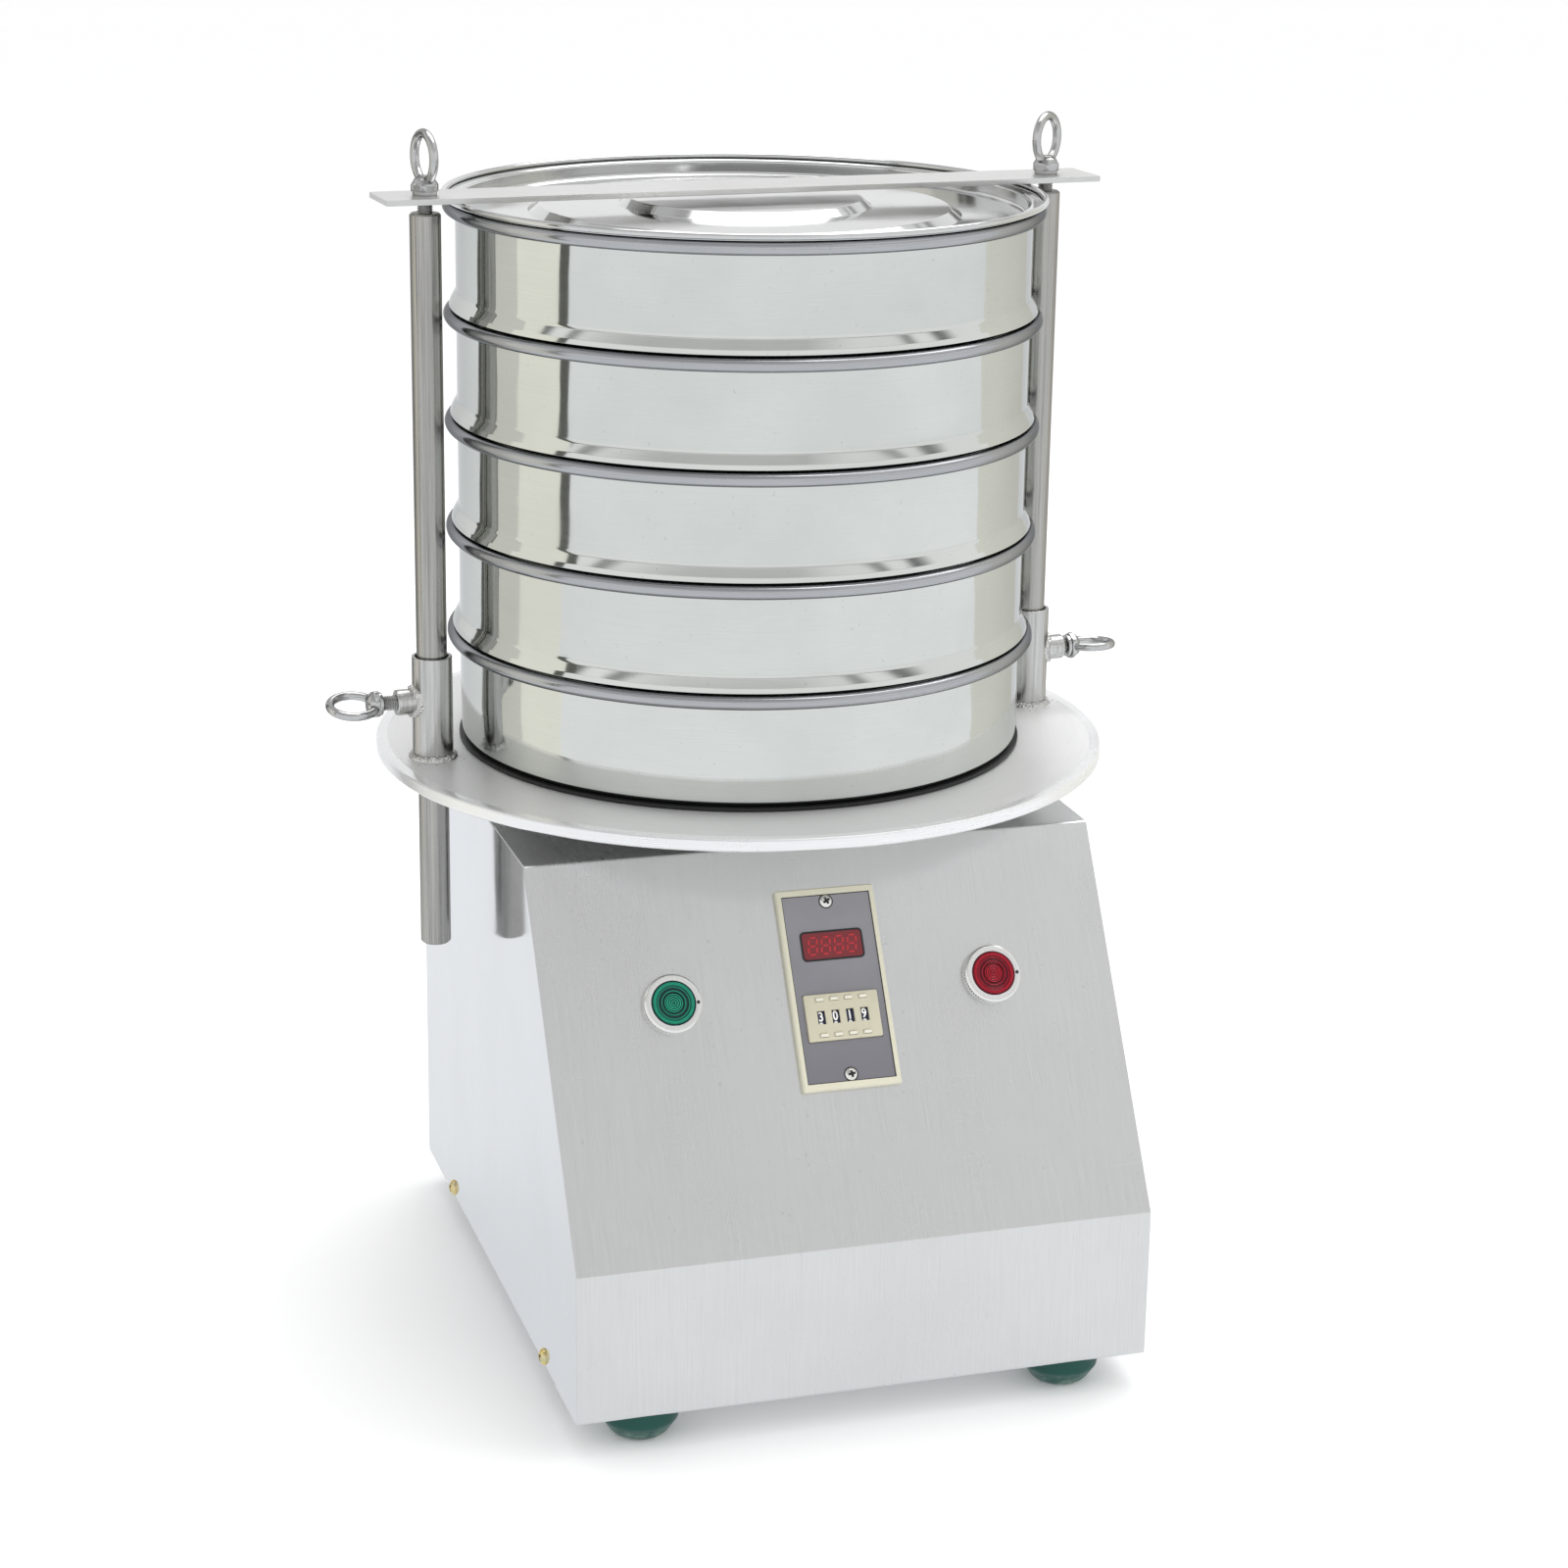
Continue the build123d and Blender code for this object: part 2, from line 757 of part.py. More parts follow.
def eye_head(collar_height, ring_height):
    """The ring of an eye bolt or nut on its faceted collar, standing on Z."""
    ring_radius = (eye_inner + eye_wire) / 2
    collar = hexagon(eye_collar, collar_height - eye_washer_height, eye_washer_height)
    collar &= turned(
        [
            (0, 0),
            (eye_collar / 2 + 0.4, 0),
            (eye_collar / 2 + 0.8, collar_height * 0.7),
            (eye_collar / 2 - 1.4, collar_height),
            (0, collar_height),
        ],
        [0, 0, 1.5, 0, 0],
    )
    washer = peg(eye_collar - 1, eye_washer_height)
    ring = Pos(0, 0, ring_height) * Rot(90, 0, 0) * Torus(ring_radius, eye_wire / 2)
    return collar + washer + ring


def make_eye_nut(side):
    """An eye nut on the stud, sitting on the crossbar."""
    turn = left_nut_turn if side < 0 else right_nut_turn
    nut = eye_head(eye_nut_collar_height, eye_nut_ring_height)
    nut -= peg(stud_diameter + 2 * screw_fit, eye_nut_ring_height - eye_inner / 4)
    return clamp_side(side) * Pos(0, 0, bar_top) * Rot(0, 0, 90 + turn) * nut


def make_eye_bolt(side):
    """An eye bolt through the boss, with its tip just off the rod."""
    standout = left_bolt_standout if side < 0 else right_bolt_standout
    roll = left_bolt_roll if side < 0 else right_bolt_roll
    tip = rod_diameter / 2 + eye_tip_gap
    bolt = eye_head(eye_bolt_collar_height, eye_bolt_ring_height)
    bolt += peg(stud_diameter, standout - tip, tip - standout)
    lay = Pos(standout, 0, plate_top + boss_rise) * Rot(90 + roll * side, 0, 0)
    return clamp_side(side) * lay * along_x(bolt)


def make_crossbar():
    """A flat bar across the lid with a hole for each stud."""
    bar = block(bar_length, bar_width, bar_thickness, bar_bottom, bar_corner)
    for x in (-rod_circle / 2, rod_circle / 2):
        bar -= Pos(x, 0, bar_bottom - bar_thickness) * peg(bar_hole, 3 * bar_thickness)
    return Rot(0, 0, clamp_turn) * bar


def rolled_bead(top):
    """The wired rim at the top of a pan or sieve wall."""
    centre = wall_radius + wall_thickness + bead_reach - bead_diameter / 2 - wall_thickness
    return Pos(0, 0, top - bead_diameter / 2) * Torus(centre, bead_diameter / 2)


def make_receiving_pan():
    """A drawn pan with a rounded bottom corner and a wired rim."""
    top = pan_top - bead_diameter / 2
    foot_radius = wall_radius + wall_thickness - pan_taper
    path = [(0, pan_bottom), (foot_radius, pan_bottom), (wall_radius + wall_thickness, top)]
    section = sheet_section(path, wall_thickness, pan_corner, pan_corner - wall_thickness)
    return revolve(Plane.XZ * section, Axis.Z) + rolled_bead(pan_top)


def make_sieve_frame(rest):
    """A sieve wall that flares out to its seat, with a skirt that enters the vessel below."""
    outer = wall_radius + wall_thickness
    skirt = wall_radius - skirt_clearance
    seat = wall_radius + flare_reach
    top = rest + sieve_height - bead_diameter / 2
    frame = turned(
        [
            (skirt, rest),
            (seat, rest),
            (seat - wall_thickness, rest + flare_height / 3),
            (outer, rest + flare_height),
            (outer, top),
            (wall_radius, top),
            (wall_radius, rest + flare_height),
            (seat - 2.2 * wall_thickness, rest + flare_height / 3),
            (seat - 2.2 * wall_thickness, rest + wall_thickness),
            (skirt - wall_thickness, rest + wall_thickness),
            (skirt - wall_thickness, rest - skirt_depth),
            (skirt, rest - skirt_depth),
        ],
        [0, 0.6, 3, 5, 0, 0, 4, 1.5, 0, 0, 0, 0],
    )
    return frame + rolled_bead(rest + sieve_height)


def make_wire_cloth(rest):
    """The disc of wire cloth that lies on the frame's seat."""
    radius = wall_radius + cloth_clearance
    return Pos(0, 0, rest + wall_thickness) * extrude(Circle(radius), amount=cloth_thickness)


def make_lid():
    """A pressed lid: a rim on the top sieve, a well inside it and two raised rounds."""
    well = wall_radius - lid_collar_clearance - lid_sheet
    floor = lid_rest + lid_sheet - lid_depth
    shelf = floor + lid_step
    crown = shelf + lid_step
    rim = lid_rest + lid_sheet
    rim_centre = wall_radius + lid_rim_reach - lid_rim_wire / 2
    path = [
        (rim_centre, rim),
        (well, rim),
        (well, floor),
        (lid_outer_step_radius + lid_outer_step_run, floor),
        (lid_outer_step_radius, shelf),
        (lid_inner_step_radius + lid_inner_step_run, shelf),
        (lid_inner_step_radius, crown),
        (0, crown),
    ]
    section = sheet_section(path, lid_sheet, lid_fold, lid_fold)
    bead = Pos(0, 0, lid_rim_top - lid_rim_wire / 2) * Torus(rim_centre, lid_rim_wire / 2)
    return revolve(Plane.XZ * section, Axis.Z) + bead


def make_timer_housing():
    """The timer's case behind the panel."""
    case = block(timer_body_width, timer_body_height, timer_body_depth, -timer_body_depth, 2)
    cavity_depth = wheel_block_depth + 1
    cavity = block(wheel_block_width + 1, wheel_block_height + 1, cavity_depth, -cavity_depth)
    case -= Pos(0, -wheel_block_drop, 0) * cavity
    for rise in (-timer_screw_spacing / 2, timer_screw_spacing / 2):
        case -= Pos(0, rise, 0) * peg(timer_screw_shank, timer_screw_shank * 3, -timer_screw_shank * 3)
    return timer_place * case


def timer_cutouts(height):
    """What the wheel block and the screws need open in the bezel's floor and the face."""
    gap = 2 * timer_part_gap
    opening = block(wheel_block_width + gap, wheel_block_height + gap, height)
    opening = Pos(0, -wheel_block_drop, 0) * opening
    for rise in (-timer_screw_spacing / 2, timer_screw_spacing / 2):
        opening += Pos(0, rise, 0) * peg(timer_screw_shank, height)
    return opening


def make_timer_bezel():
    """The cream frame that stands proud of the panel."""
    frame = block(timer_width, timer_height, timer_bezel_height, 0, 0.8)
    frame = chamfer(frame.faces().sort_by(Axis.Z)[-1].edges(), 0.7)
    inner_width = timer_width - 2 * timer_side_border
    inner_height = timer_height - 2 * timer_border
    frame -= block(inner_width, inner_height, timer_bezel_height, timer_bezel_floor)
    return timer_place * (frame - timer_cutouts(timer_bezel_floor))


def make_timer_face():
    """The grey face plate in the bezel, with a window for the display."""
    gap = 2 * timer_part_gap
    inner_width = timer_width - 2 * timer_side_border - gap
    inner_height = timer_height - 2 * timer_border - gap
    face = block(inner_width, inner_height, timer_face_thickness)
    display_hole = block(display_width, display_height, timer_face_thickness, 0, display_corner)
    face -= Pos(0, display_rise, 0) * display_hole
    face -= timer_cutouts(timer_face_thickness)
    return timer_place * Pos(0, 0, timer_bezel_floor) * face


def make_display_window():
    """The dark red display window, just proud of the face."""
    gap = 2 * timer_part_gap
    window = block(
        display_width - gap,
        display_height - gap,
        timer_face_thickness + display_proud,
        timer_bezel_floor,
        display_corner - timer_part_gap,
    )
    return display_place * window


def make_timer_screws():
    """Two small domed screws in the face."""
    head = turned(
        [(0, 0), (timer_screw_head / 2, 0), (timer_screw_head / 2, 0.6), (0, timer_screw_height)],
        [0, 0, 0.5, 0],
    )
    seat = timer_bezel_floor + timer_face_thickness
    shank_length = seat + timer_screw_shank * 2
    screw = Pos(0, 0, seat) * head + peg(timer_screw_shank, shank_length, seat - shank_length)
    rises = (timer_screw_spacing / 2, -timer_screw_spacing / 2)
    return [timer_place * Pos(0, rise, 0) * screw for rise in rises]


def wheel_x(index):
    """Place across the block of one digit wheel, counted from the left."""
    return (index - 1.5) * wheel_pitch


def wheel_block_front():
    """Height of the wheel block's front above the panel."""
    return timer_bezel_floor + timer_face_thickness + wheel_block_proud


def wheel_centre_depth():
    """Height above the panel of the wheels' axle."""
    return wheel_block_front() - wheel_window_wall - wheel_side_gap - wheel_diameter / 2


def make_thumbwheel_block():
    """The cream block with four windows, the slots of eight tabs and the wheels' axle."""
    front = wheel_block_front()
    depth = front + wheel_block_depth
    body = block(wheel_block_width, wheel_block_height, depth, front - depth)
    body = chamfer(body.faces().sort_by(Axis.Z)[-1].edges(), wheel_block_edge)
    pocket_width = wheel_width + 2 * wheel_side_gap
    pocket = along_x(peg(wheel_diameter + 2 * wheel_side_gap, pocket_width, -pocket_width / 2))
    slot_width = tab_width + 2 * tab_gap
    slot_height = tab_height + 2 * tab_gap
    slot_depth = tab_length + tab_travel + tab_gap
    for index in range(4):
        column = Pos(wheel_x(index), 0, 0)
        body -= column * Pos(0, 0, wheel_centre_depth()) * pocket
        window_base = front - wheel_window_wall
        window = block(wheel_window_width, wheel_window_height, 2 * wheel_window_wall, window_base)
        body -= column * window
        for side in (-1, 1):
            slot = block(slot_width, slot_height, slot_depth, front - slot_depth)
            body -= column * Pos(0, side * tab_offset, 0) * slot
    axle = along_x(peg(wheel_axle, wheel_block_width - 4, 2 - wheel_block_width / 2))
    axle = Pos(0, 0, wheel_centre_depth()) * axle
    return wheel_block_place * (body + axle)


def make_digit_wheel(index):
    """A number wheel that turns on the axle."""
    section = Circle(wheel_diameter / 2) - Circle(wheel_axle / 2 + wheel_axle_fit)
    wheel = extrude(section, amount=wheel_width)
    wheel = along_x(Pos(0, 0, -wheel_width / 2) * wheel)
    return wheel_block_place * Pos(wheel_x(index), 0, wheel_centre_depth()) * wheel


def make_tab(index, side):
    """A small push tab above or below a digit wheel."""
    tab = block(tab_width, tab_height, tab_length + tab_proud, -tab_length)
    tab = chamfer(tab.faces().sort_by(Axis.Z)[-1].edges(), 0.3)
    return wheel_block_place * Pos(wheel_x(index), side * tab_offset, wheel_block_front()) * tab


def button_place(side):
    """Frame of one push button on the sloping panel."""
    return panel.location * Pos(side * button_spread, -button_drop, 0)


def make_button_rings():
    """Bright rings around the push buttons."""
    bore = button_lens_diameter / 2 + button_fit
    ring = turned(
        [
            (button_barrel / 2, 0),
            (button_ring_diameter / 2, 0),
            (button_ring_diameter / 2, button_ring_shoulder),
            (button_ring_face / 2, button_ring_height),
            (bore, button_ring_height),
            (bore, button_barrel_rise),
            (button_barrel / 2, button_barrel_rise),
        ],
        [0, 0, 0.4, 0.5, 0.3, 0, 0],
    )
    return [button_place(side) * ring for side in (-1, 1)]


def make_button_bodies():
    """Threaded barrels with their nuts and contact blocks behind the panel."""
    bore = button_lens_stem / 2 + button_fit
    barrel = peg(button_barrel, button_barrel_length + button_barrel_rise, -button_barrel_length)
    barrel += peg(button_nut, button_nut_height, -sheet - button_nut_height)
    block_bottom = -button_barrel_length - button_block_depth
    barrel += block(button_block_width, button_block_height, button_block_depth, block_bottom, 2)
    barrel -= peg(2 * bore, 1.5 * button_stem_length, button_barrel_rise - 1.5 * button_stem_length)
    return [button_place(side) * barrel for side in (-1, 1)]


def make_button_lens(side):
    """The coloured lens that is pushed, on its stem."""
    face = button_ring_height + button_lens_proud
    lens = turned(
        [
            (0, face - button_lens_height - button_stem_length),
            (button_lens_stem / 2, face - button_lens_height - button_stem_length),
            (button_lens_stem / 2, face - button_lens_height),
            (button_lens_diameter / 2, face - button_lens_height),
            (button_lens_diameter / 2, face),
            (0, face),
        ],
        [0, 0, 0, 0, 0.5, 0],
    )
    return button_place(side) * lens


def all_parts():
    """Every node by name, each one a list of its solids' shapes."""
    parts = {
        "front_cover": make_front_cover(),
        "left_side_panel": make_side_panel(-1),
        "right_side_panel": make_side_panel(1),
        "back_panel": make_back_panel(),
        "bottom_plate": make_bottom_plate(),
        "side_screws": make_side_screws(),
        "rubber_feet": make_rubber_feet(),
        "foot_fasteners": make_foot_fasteners(),
        "cable_gland": make_cable_gland(),
        "motor_shelf": make_motor_shelf(),
        "rubber_buffers": make_rubber_buffers(),
        "buffer_fasteners": make_buffer_fasteners(),
        "motor_carrier": make_motor_carrier(),
        "carrier_fasteners": make_carrier_fasteners(),
        "motor_housing": make_motor_housing(),
        "motor_bearings": make_motor_bearings(),
        "rotor_shaft": make_rotor_shaft(),
        "eccentric_weights": make_eccentric_weights(),
        "vibrating_plate": make_vibrating_plate(),
        "clamp_sleeves": make_clamp_sleeves(),
        "pan_mat": make_pan_mat(),
        "crossbar": make_crossbar(),
        "receiving_pan": make_receiving_pan(),
        "lid": make_lid(),
        "timer_housing": make_timer_housing(),
        "timer_bezel": make_timer_bezel(),
        "timer_face": make_timer_face(),
        "display_window": make_display_window(),
        "timer_screws": make_timer_screws(),
        "thumbwheel_block": make_thumbwheel_block(),
        "button_rings": make_button_rings(),
        "button_bodies": make_button_bodies(),
        "start_button": make_button_lens(-1),
        "stop_button": make_button_lens(1),
    }
    for name, side in (("left", -1), ("right", 1)):
        parts[name + "_clamp_rod"] = make_clamp_rod(side)
        parts[name + "_eye_bolt"] = make_eye_bolt(side)
        parts[name + "_eye_nut"] = make_eye_nut(side)
    for index in range(4):
        rest = sieve_rest[3 - index]
        parts[f"sieve_frame_{index + 1}"] = make_sieve_frame(rest)
        parts[f"wire_cloth_{index + 1}"] = make_wire_cloth(rest)
        parts[f"digit_wheel_{index + 1}"] = make_digit_wheel(index)
        parts[f"plus_tab_{index + 1}"] = make_tab(index, 1)
        parts[f"minus_tab_{index + 1}"] = make_tab(index, -1)
    return parts


def as_compound(shape):
    """One compound of the solids in a shape or a list of shapes."""
    shapes = shape if isinstance(shape, list) else [shape]
    return Compound([solid for item in shapes for solid in item.solids()])


def export_parts():
    """Centres the whole on the origin and writes one file for each node."""
    nodes = {name: as_compound(shape) for name, shape in all_parts().items()}
    reach = Compound(list(nodes.values())).bounding_box()
    centring = Pos(-reach.center().X, -reach.center().Y, -reach.min.Z)
    os.makedirs("parts", exist_ok=True)
    for name, node in nodes.items():
        export_step(centring * node, f"parts/{name}.step")
    print("plate axis at", round(-reach.center().X, 3), round(-reach.center().Y, 3))
    print("size", [round(v, 2) for v in reach.size])


export_parts()
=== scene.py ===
import json
import math
import random

import bmesh
import bpy
import numpy as np
from mathutils import Matrix, Vector, noise

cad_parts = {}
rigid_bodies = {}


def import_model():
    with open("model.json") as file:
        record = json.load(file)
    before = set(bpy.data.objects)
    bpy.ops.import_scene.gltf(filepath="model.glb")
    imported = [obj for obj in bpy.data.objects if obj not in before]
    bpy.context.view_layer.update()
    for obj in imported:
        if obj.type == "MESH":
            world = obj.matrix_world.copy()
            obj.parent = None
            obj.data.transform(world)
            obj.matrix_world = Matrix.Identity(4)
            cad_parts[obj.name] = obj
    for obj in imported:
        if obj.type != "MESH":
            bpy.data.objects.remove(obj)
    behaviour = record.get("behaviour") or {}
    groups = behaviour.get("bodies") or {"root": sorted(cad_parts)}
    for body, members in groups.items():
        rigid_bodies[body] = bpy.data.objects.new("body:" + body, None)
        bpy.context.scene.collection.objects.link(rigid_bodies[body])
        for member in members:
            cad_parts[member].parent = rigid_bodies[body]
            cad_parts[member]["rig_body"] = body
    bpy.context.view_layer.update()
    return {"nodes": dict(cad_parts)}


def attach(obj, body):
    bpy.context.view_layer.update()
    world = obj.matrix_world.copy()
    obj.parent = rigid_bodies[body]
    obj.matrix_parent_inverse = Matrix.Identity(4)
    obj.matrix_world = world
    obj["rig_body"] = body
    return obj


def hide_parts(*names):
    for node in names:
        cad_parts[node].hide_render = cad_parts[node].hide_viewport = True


# Looks of the vibrating sieve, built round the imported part. Shapes are worked out in
# millimetres in the part's own frame (floor at z = 0, front towards -Y) and stored in metres.

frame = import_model()
nodes = frame["nodes"]
scene = bpy.context.scene
MM = 0.001
random.seed(7)

# Plate axis and the levels of what stands on it
axis_x = 2.395
axis_y = 22.55
plate_radius = 196.3
plate_bottom = 291.5
plate_top = 298.0
pan_bottom = 300.0
pan_top = 359.2
sieve_rests = {4: 359.5, 3: 416.1, 2: 472.7, 1: 529.3}
sieve_height = 56.3
lid_rest = 585.9
bar_top = 592.9
rod_bottom = 194.6
rod_shoulder = 583.9
stud_top = 602.4

# Vessel walls. The seat of a sieve flares out over the rim below, its skirt goes down inside.
sheet = 0.8
wall_outer = 150.6
wall_inner = 149.8
bead_centre = 153.8
bead_radius = 3.5
seat_radius = wall_inner + 4.5
skirt_outer = 149.2
skirt_inner = 148.4
skirt_drop = 9.0

# Clamp line through the two rods
clamp_turn = math.radians(3.6)
rod_distance = 171.7
rod_radius = 8.0
rod_hole = 8.08
sleeve_radius = 10.65
sleeve_height = 55.0
boss_radius = 6.75
boss_foot = 8.2
boss_reach = 20.0
boss_rise = 31.0
stud_radius = 4.0
stud_hole = 4.05
stud_pitch = 1.25
thread_depth = 0.55
thread_taper = 0.6
eye_ring = 12.0
eye_wire = 2.3

# Housing and its sloping panel
housing_left = -148.605
housing_right = 153.395
housing_front = -218.85
housing_back = 141.85
housing_bottom = 18.0
housing_top = 274.4
top_front = -110.25
panel_normal = Vector((0, -0.852083, 0.523406))
panel_up = Vector((0, 0.523406, 0.852083))
button_reach = 85.0
button_drop = 77.0


# Shapes are pairs of points (N x 3) and faces


def joined(*shapes):
    """Several shapes as one."""
    points = []
    faces = []
    for shape_points, shape_faces in shapes:
        offset = len(points)
        points.extend(shape_points)
        faces.extend([tuple(i + offset for i in face) for face in shape_faces])
    return points, faces


def moved(shape, place):
    """A shape put into a place, given as a matrix in millimetres."""
    turn = np.array(place.to_3x3())
    shift = np.array(place.translation)
    return (np.array(shape[0], float) @ turn.T + shift).tolist(), shape[1]


def at(x, y, z):
    return Matrix.Translation((x, y, z))


def turn(degrees, axis):
    return Matrix.Rotation(math.radians(degrees), 4, axis)


def on_axis(shape):
    """A shape made about Z, moved onto the plate's axis."""
    return moved(shape, at(axis_x, axis_y, 0))


def rounded(corners, steps=6, closed=False):
    """A line through corners, each one given as two coordinates and its rounding."""
    count = len(corners)
    line = []
    for index, (x, y, radius) in enumerate(corners):
        if radius <= 0 or (not closed and index in (0, count - 1)):
            line.append((x, y))
            continue
        here = Vector((x, y))
        back = (Vector(corners[index - 1][:2]) - here).normalized()
        ahead = (Vector(corners[(index + 1) % count][:2]) - here).normalized()
        half = back.angle(ahead) / 2
        reach = radius / math.tan(half)
        start = here + back * reach
        end = here + ahead * reach
        centre = here + (back + ahead).normalized() * (radius / math.sin(half))
        for step in range(steps + 1):
            spoke = start.lerp(end, step / steps) - centre
            line.append(tuple(centre + spoke.normalized() * radius))
    return line


def arc(centre, radius, start, end, steps):
    """Points on an arc of a (radius, z) profile, angles in degrees."""
    line = []
    for step in range(steps + 1):
        a = math.radians(start + (end - start) * step / steps)
        line.append((centre[0] + radius * math.cos(a), centre[1] + radius * math.sin(a)))
    return line


def divided(profile, cuts, rise, beyond=0.0):
    """A profile whose tall runs outside a radius are cut into short ones."""
    line = []
    for a, b in zip(profile, profile[1:]):
        count = cuts if abs(a[1] - b[1]) > rise and min(a[0], b[0]) > beyond else 1
        line += [tuple(Vector(a).lerp(Vector(b), k / count)) for k in range(count)]
    return line + [profile[-1]]


def row_faces(rows, wide, around=True, closed=False, flip=False):
    """Quads between rows of points that lie one after another, each row wide points long."""
    faces = []
    for row in range(rows if closed else rows - 1):
        low = row * wide
        high = (row + 1) % rows * wide
        for i in range(wide if around else wide - 1):
            j = (i + 1) % wide
            quad = (low + i, low + j, high + j, high + i)
            faces.append(quad[::-1] if flip else quad)
    return faces


def lathe(profile, segments=128, closed=False, shaped=None):
    """A surface turned about Z from (radius, z) points.

    closed joins the last point to the first, and shaped(angle, index, radius, z) can bend it.
    """
    points = []
    rings = []
    for index, (radius, z) in enumerate(profile):
        if radius < 1e-6:
            rings.append([len(points)])
            points.append((0.0, 0.0, z))
            continue
        rings.append(range(len(points), len(points) + segments))
        for step in range(segments):
            angle = 2 * math.pi * step / segments
            r, h = shaped(angle, index, radius, z) if shaped else (radius, z)
            points.append((r * math.cos(angle), r * math.sin(angle), h))
    faces = []
    for low, high in zip(rings, rings[1:] + (rings[:1] if closed else [])):
        if len(low) + len(high) == 2:
            continue
        for step in range(segments):
            after = (step + 1) % segments
            corners = (low[step % len(low)], low[after % len(low)])
            corners += (high[after % len(high)], high[step % len(high)])
            faces.append(tuple(dict.fromkeys(corners)))
    return points, faces


def inset(outline, distance):
    """A closed anticlockwise outline moved inwards."""
    count = len(outline)
    line = []
    for i in range(count):
        before = Vector(outline[i]) - Vector(outline[i - 1])
        after = Vector(outline[(i + 1) % count]) - Vector(outline[i])
        n1 = Vector((-before.y, before.x)).normalized()
        n2 = Vector((-after.y, after.x)).normalized()
        share = distance / max(0.2, 1 + n1.dot(n2))
        line.append(tuple(Vector(outline[i]) + (n1 + n2) * share))
    return line


def slab(outline, bottom, top, edge=0.0, edge_bottom=None):
    """A flat shape on XY between two levels, with its edges broken."""
    edge_bottom = edge if edge_bottom is None else edge_bottom
    rows = [(outline, bottom + edge_bottom), (outline, top - edge)]
    if edge_bottom:
        rows.insert(0, (inset(outline, edge_bottom), bottom))
    if edge:
        rows += [(inset(outline, edge * 0.3), top - edge * 0.3), (inset(outline, edge), top)]
    count = len(outline)
    points = [(x, y, z) for line, z in rows for x, y in line]
    caps = [tuple(reversed(range(count))), tuple(range(len(points) - count, len(points)))]
    return points, row_faces(len(rows), count) + caps


def washer_slab(outer, inner, bottom, top, edge=0.0):
    """A flat shape with one hole, between two outlines of as many points."""
    rows = (
        (outer, bottom),
        (outer, top - edge),
        (inset(outer, edge), top),
        (inset(inner, -edge), top),
        (inner, top - edge),
        (inner, bottom),
    )
    points = [(x, y, z) for line, z in rows for x, y in line]
    return points, row_faces(len(rows), len(outer), closed=True)


def box_outline(width, height, corner=0.0, steps=6):
    """A rectangle about the origin with rounded corners, anticlockwise."""
    x = width / 2
    y = height / 2
    corners = ((-x, -y), (x, -y), (x, y), (-x, y))
    return rounded([(*place, corner) for place in corners], steps, True)


def circle_outline(radius, count):
    angles = [2 * math.pi * i / count for i in range(count)]
    return [(radius * math.cos(a), radius * math.sin(a)) for a in angles]


def hoop(path, radius, sides):
    """A round bar bent into a ring along a closed path."""
    path = [Vector(p) for p in path]
    points = []
    side = None
    for i, point in enumerate(path):
        along = (path[(i + 1) % len(path)] - path[i - 1]).normalized()
        if side is None:
            side = along.orthogonal().normalized()
        side = (side - along * side.dot(along)).normalized()
        other = along.cross(side)
        for x, y in circle_outline(radius, sides):
            points.append(tuple(point + side * x + other * y))
    return points, row_faces(len(path), sides, closed=True)


def threaded(bottom, top):
    """A stud's screw thread about Z, tapered at its ends."""
    steps = max(8, int((top - bottom) / stud_pitch * 8))
    levels = [bottom + (top - bottom) * i / steps for i in range(steps + 1)]
    profile = [(0.0, bottom)] + [(stud_radius, z) for z in levels] + [(0.0, top)]

    def cut(angle, index, radius, z):
        phase = (z / stud_pitch - angle / (2 * math.pi)) % 1.0
        crest = min(1.0, max(0.0, (abs(2 * phase - 1) - 0.12) / 0.76))
        taper = min(1.0, (z - bottom) / thread_taper, (top - z) / thread_taper)
        return radius - thread_depth * (1 - min(crest, taper)), z

    return lathe(profile, 48, False, cut)


def recessed_head(radius, height, recess, arm, ring_count, segments=128):
    """A domed screw head standing on z = 0 with a cross recess."""
    half_step = math.pi / segments

    def pressed(angle, index, r, z):
        if index == 0:
            return r, z
        x, y = r * math.cos(angle + half_step), r * math.sin(angle + half_step)
        narrow, wide = sorted((abs(x), abs(y)))
        dome = height * (1 - 0.75 * (r / radius) ** 3.2)
        inside = narrow < arm * 0.32 and wide < arm
        return r, dome - (recess * (1.0 - 0.45 * wide / arm) if inside else 0.0)

    profile = [(radius, 0.0)] + [(radius * k / ring_count, 0.0) for k in range(ring_count, 0, -1)]
    head = lathe(profile + [(0.0, height - recess)], segments, False, pressed)
    return moved(head, Matrix.Rotation(half_step, 4, "Z"))


def cross_shade(arm, n, level):
    """A flat black cross of painted shade at the floor of a cross recess, with arms of half width n.
    """
    line = [(-n, -arm), (n, -arm), (n, -n), (arm, -n), (arm, n), (n, n)]
    line += [(-x, -y) for x, y in line]
    return [(x, y, level) for x, y in line], [tuple(range(len(line)))]


def ring_noise(angle, turns, seed):
    """A smooth value round a ring, from -1 to 1."""
    return noise.noise(Vector((math.cos(angle) * turns, math.sin(angle) * turns, seed)))


def piece(name, shape, body, material, smooth=32.0, stands_for=()):
    """A mesh in the scene that rides on one body of the part."""
    points, faces = shape
    mesh = bpy.data.meshes.new(name)
    mesh.from_pydata((np.array(points, float) * MM).tolist(), [], faces)
    mesh.materials.append(material)
    mesh.validate()
    if smooth:
        mesh.shade_smooth()
        mesh.set_sharp_from_angle(angle=math.radians(smooth))
    obj = bpy.data.objects.new(name, mesh)
    scene.collection.objects.link(obj)
    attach(obj, body)
    if stands_for:
        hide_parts(*stands_for)
    return obj


# Materials


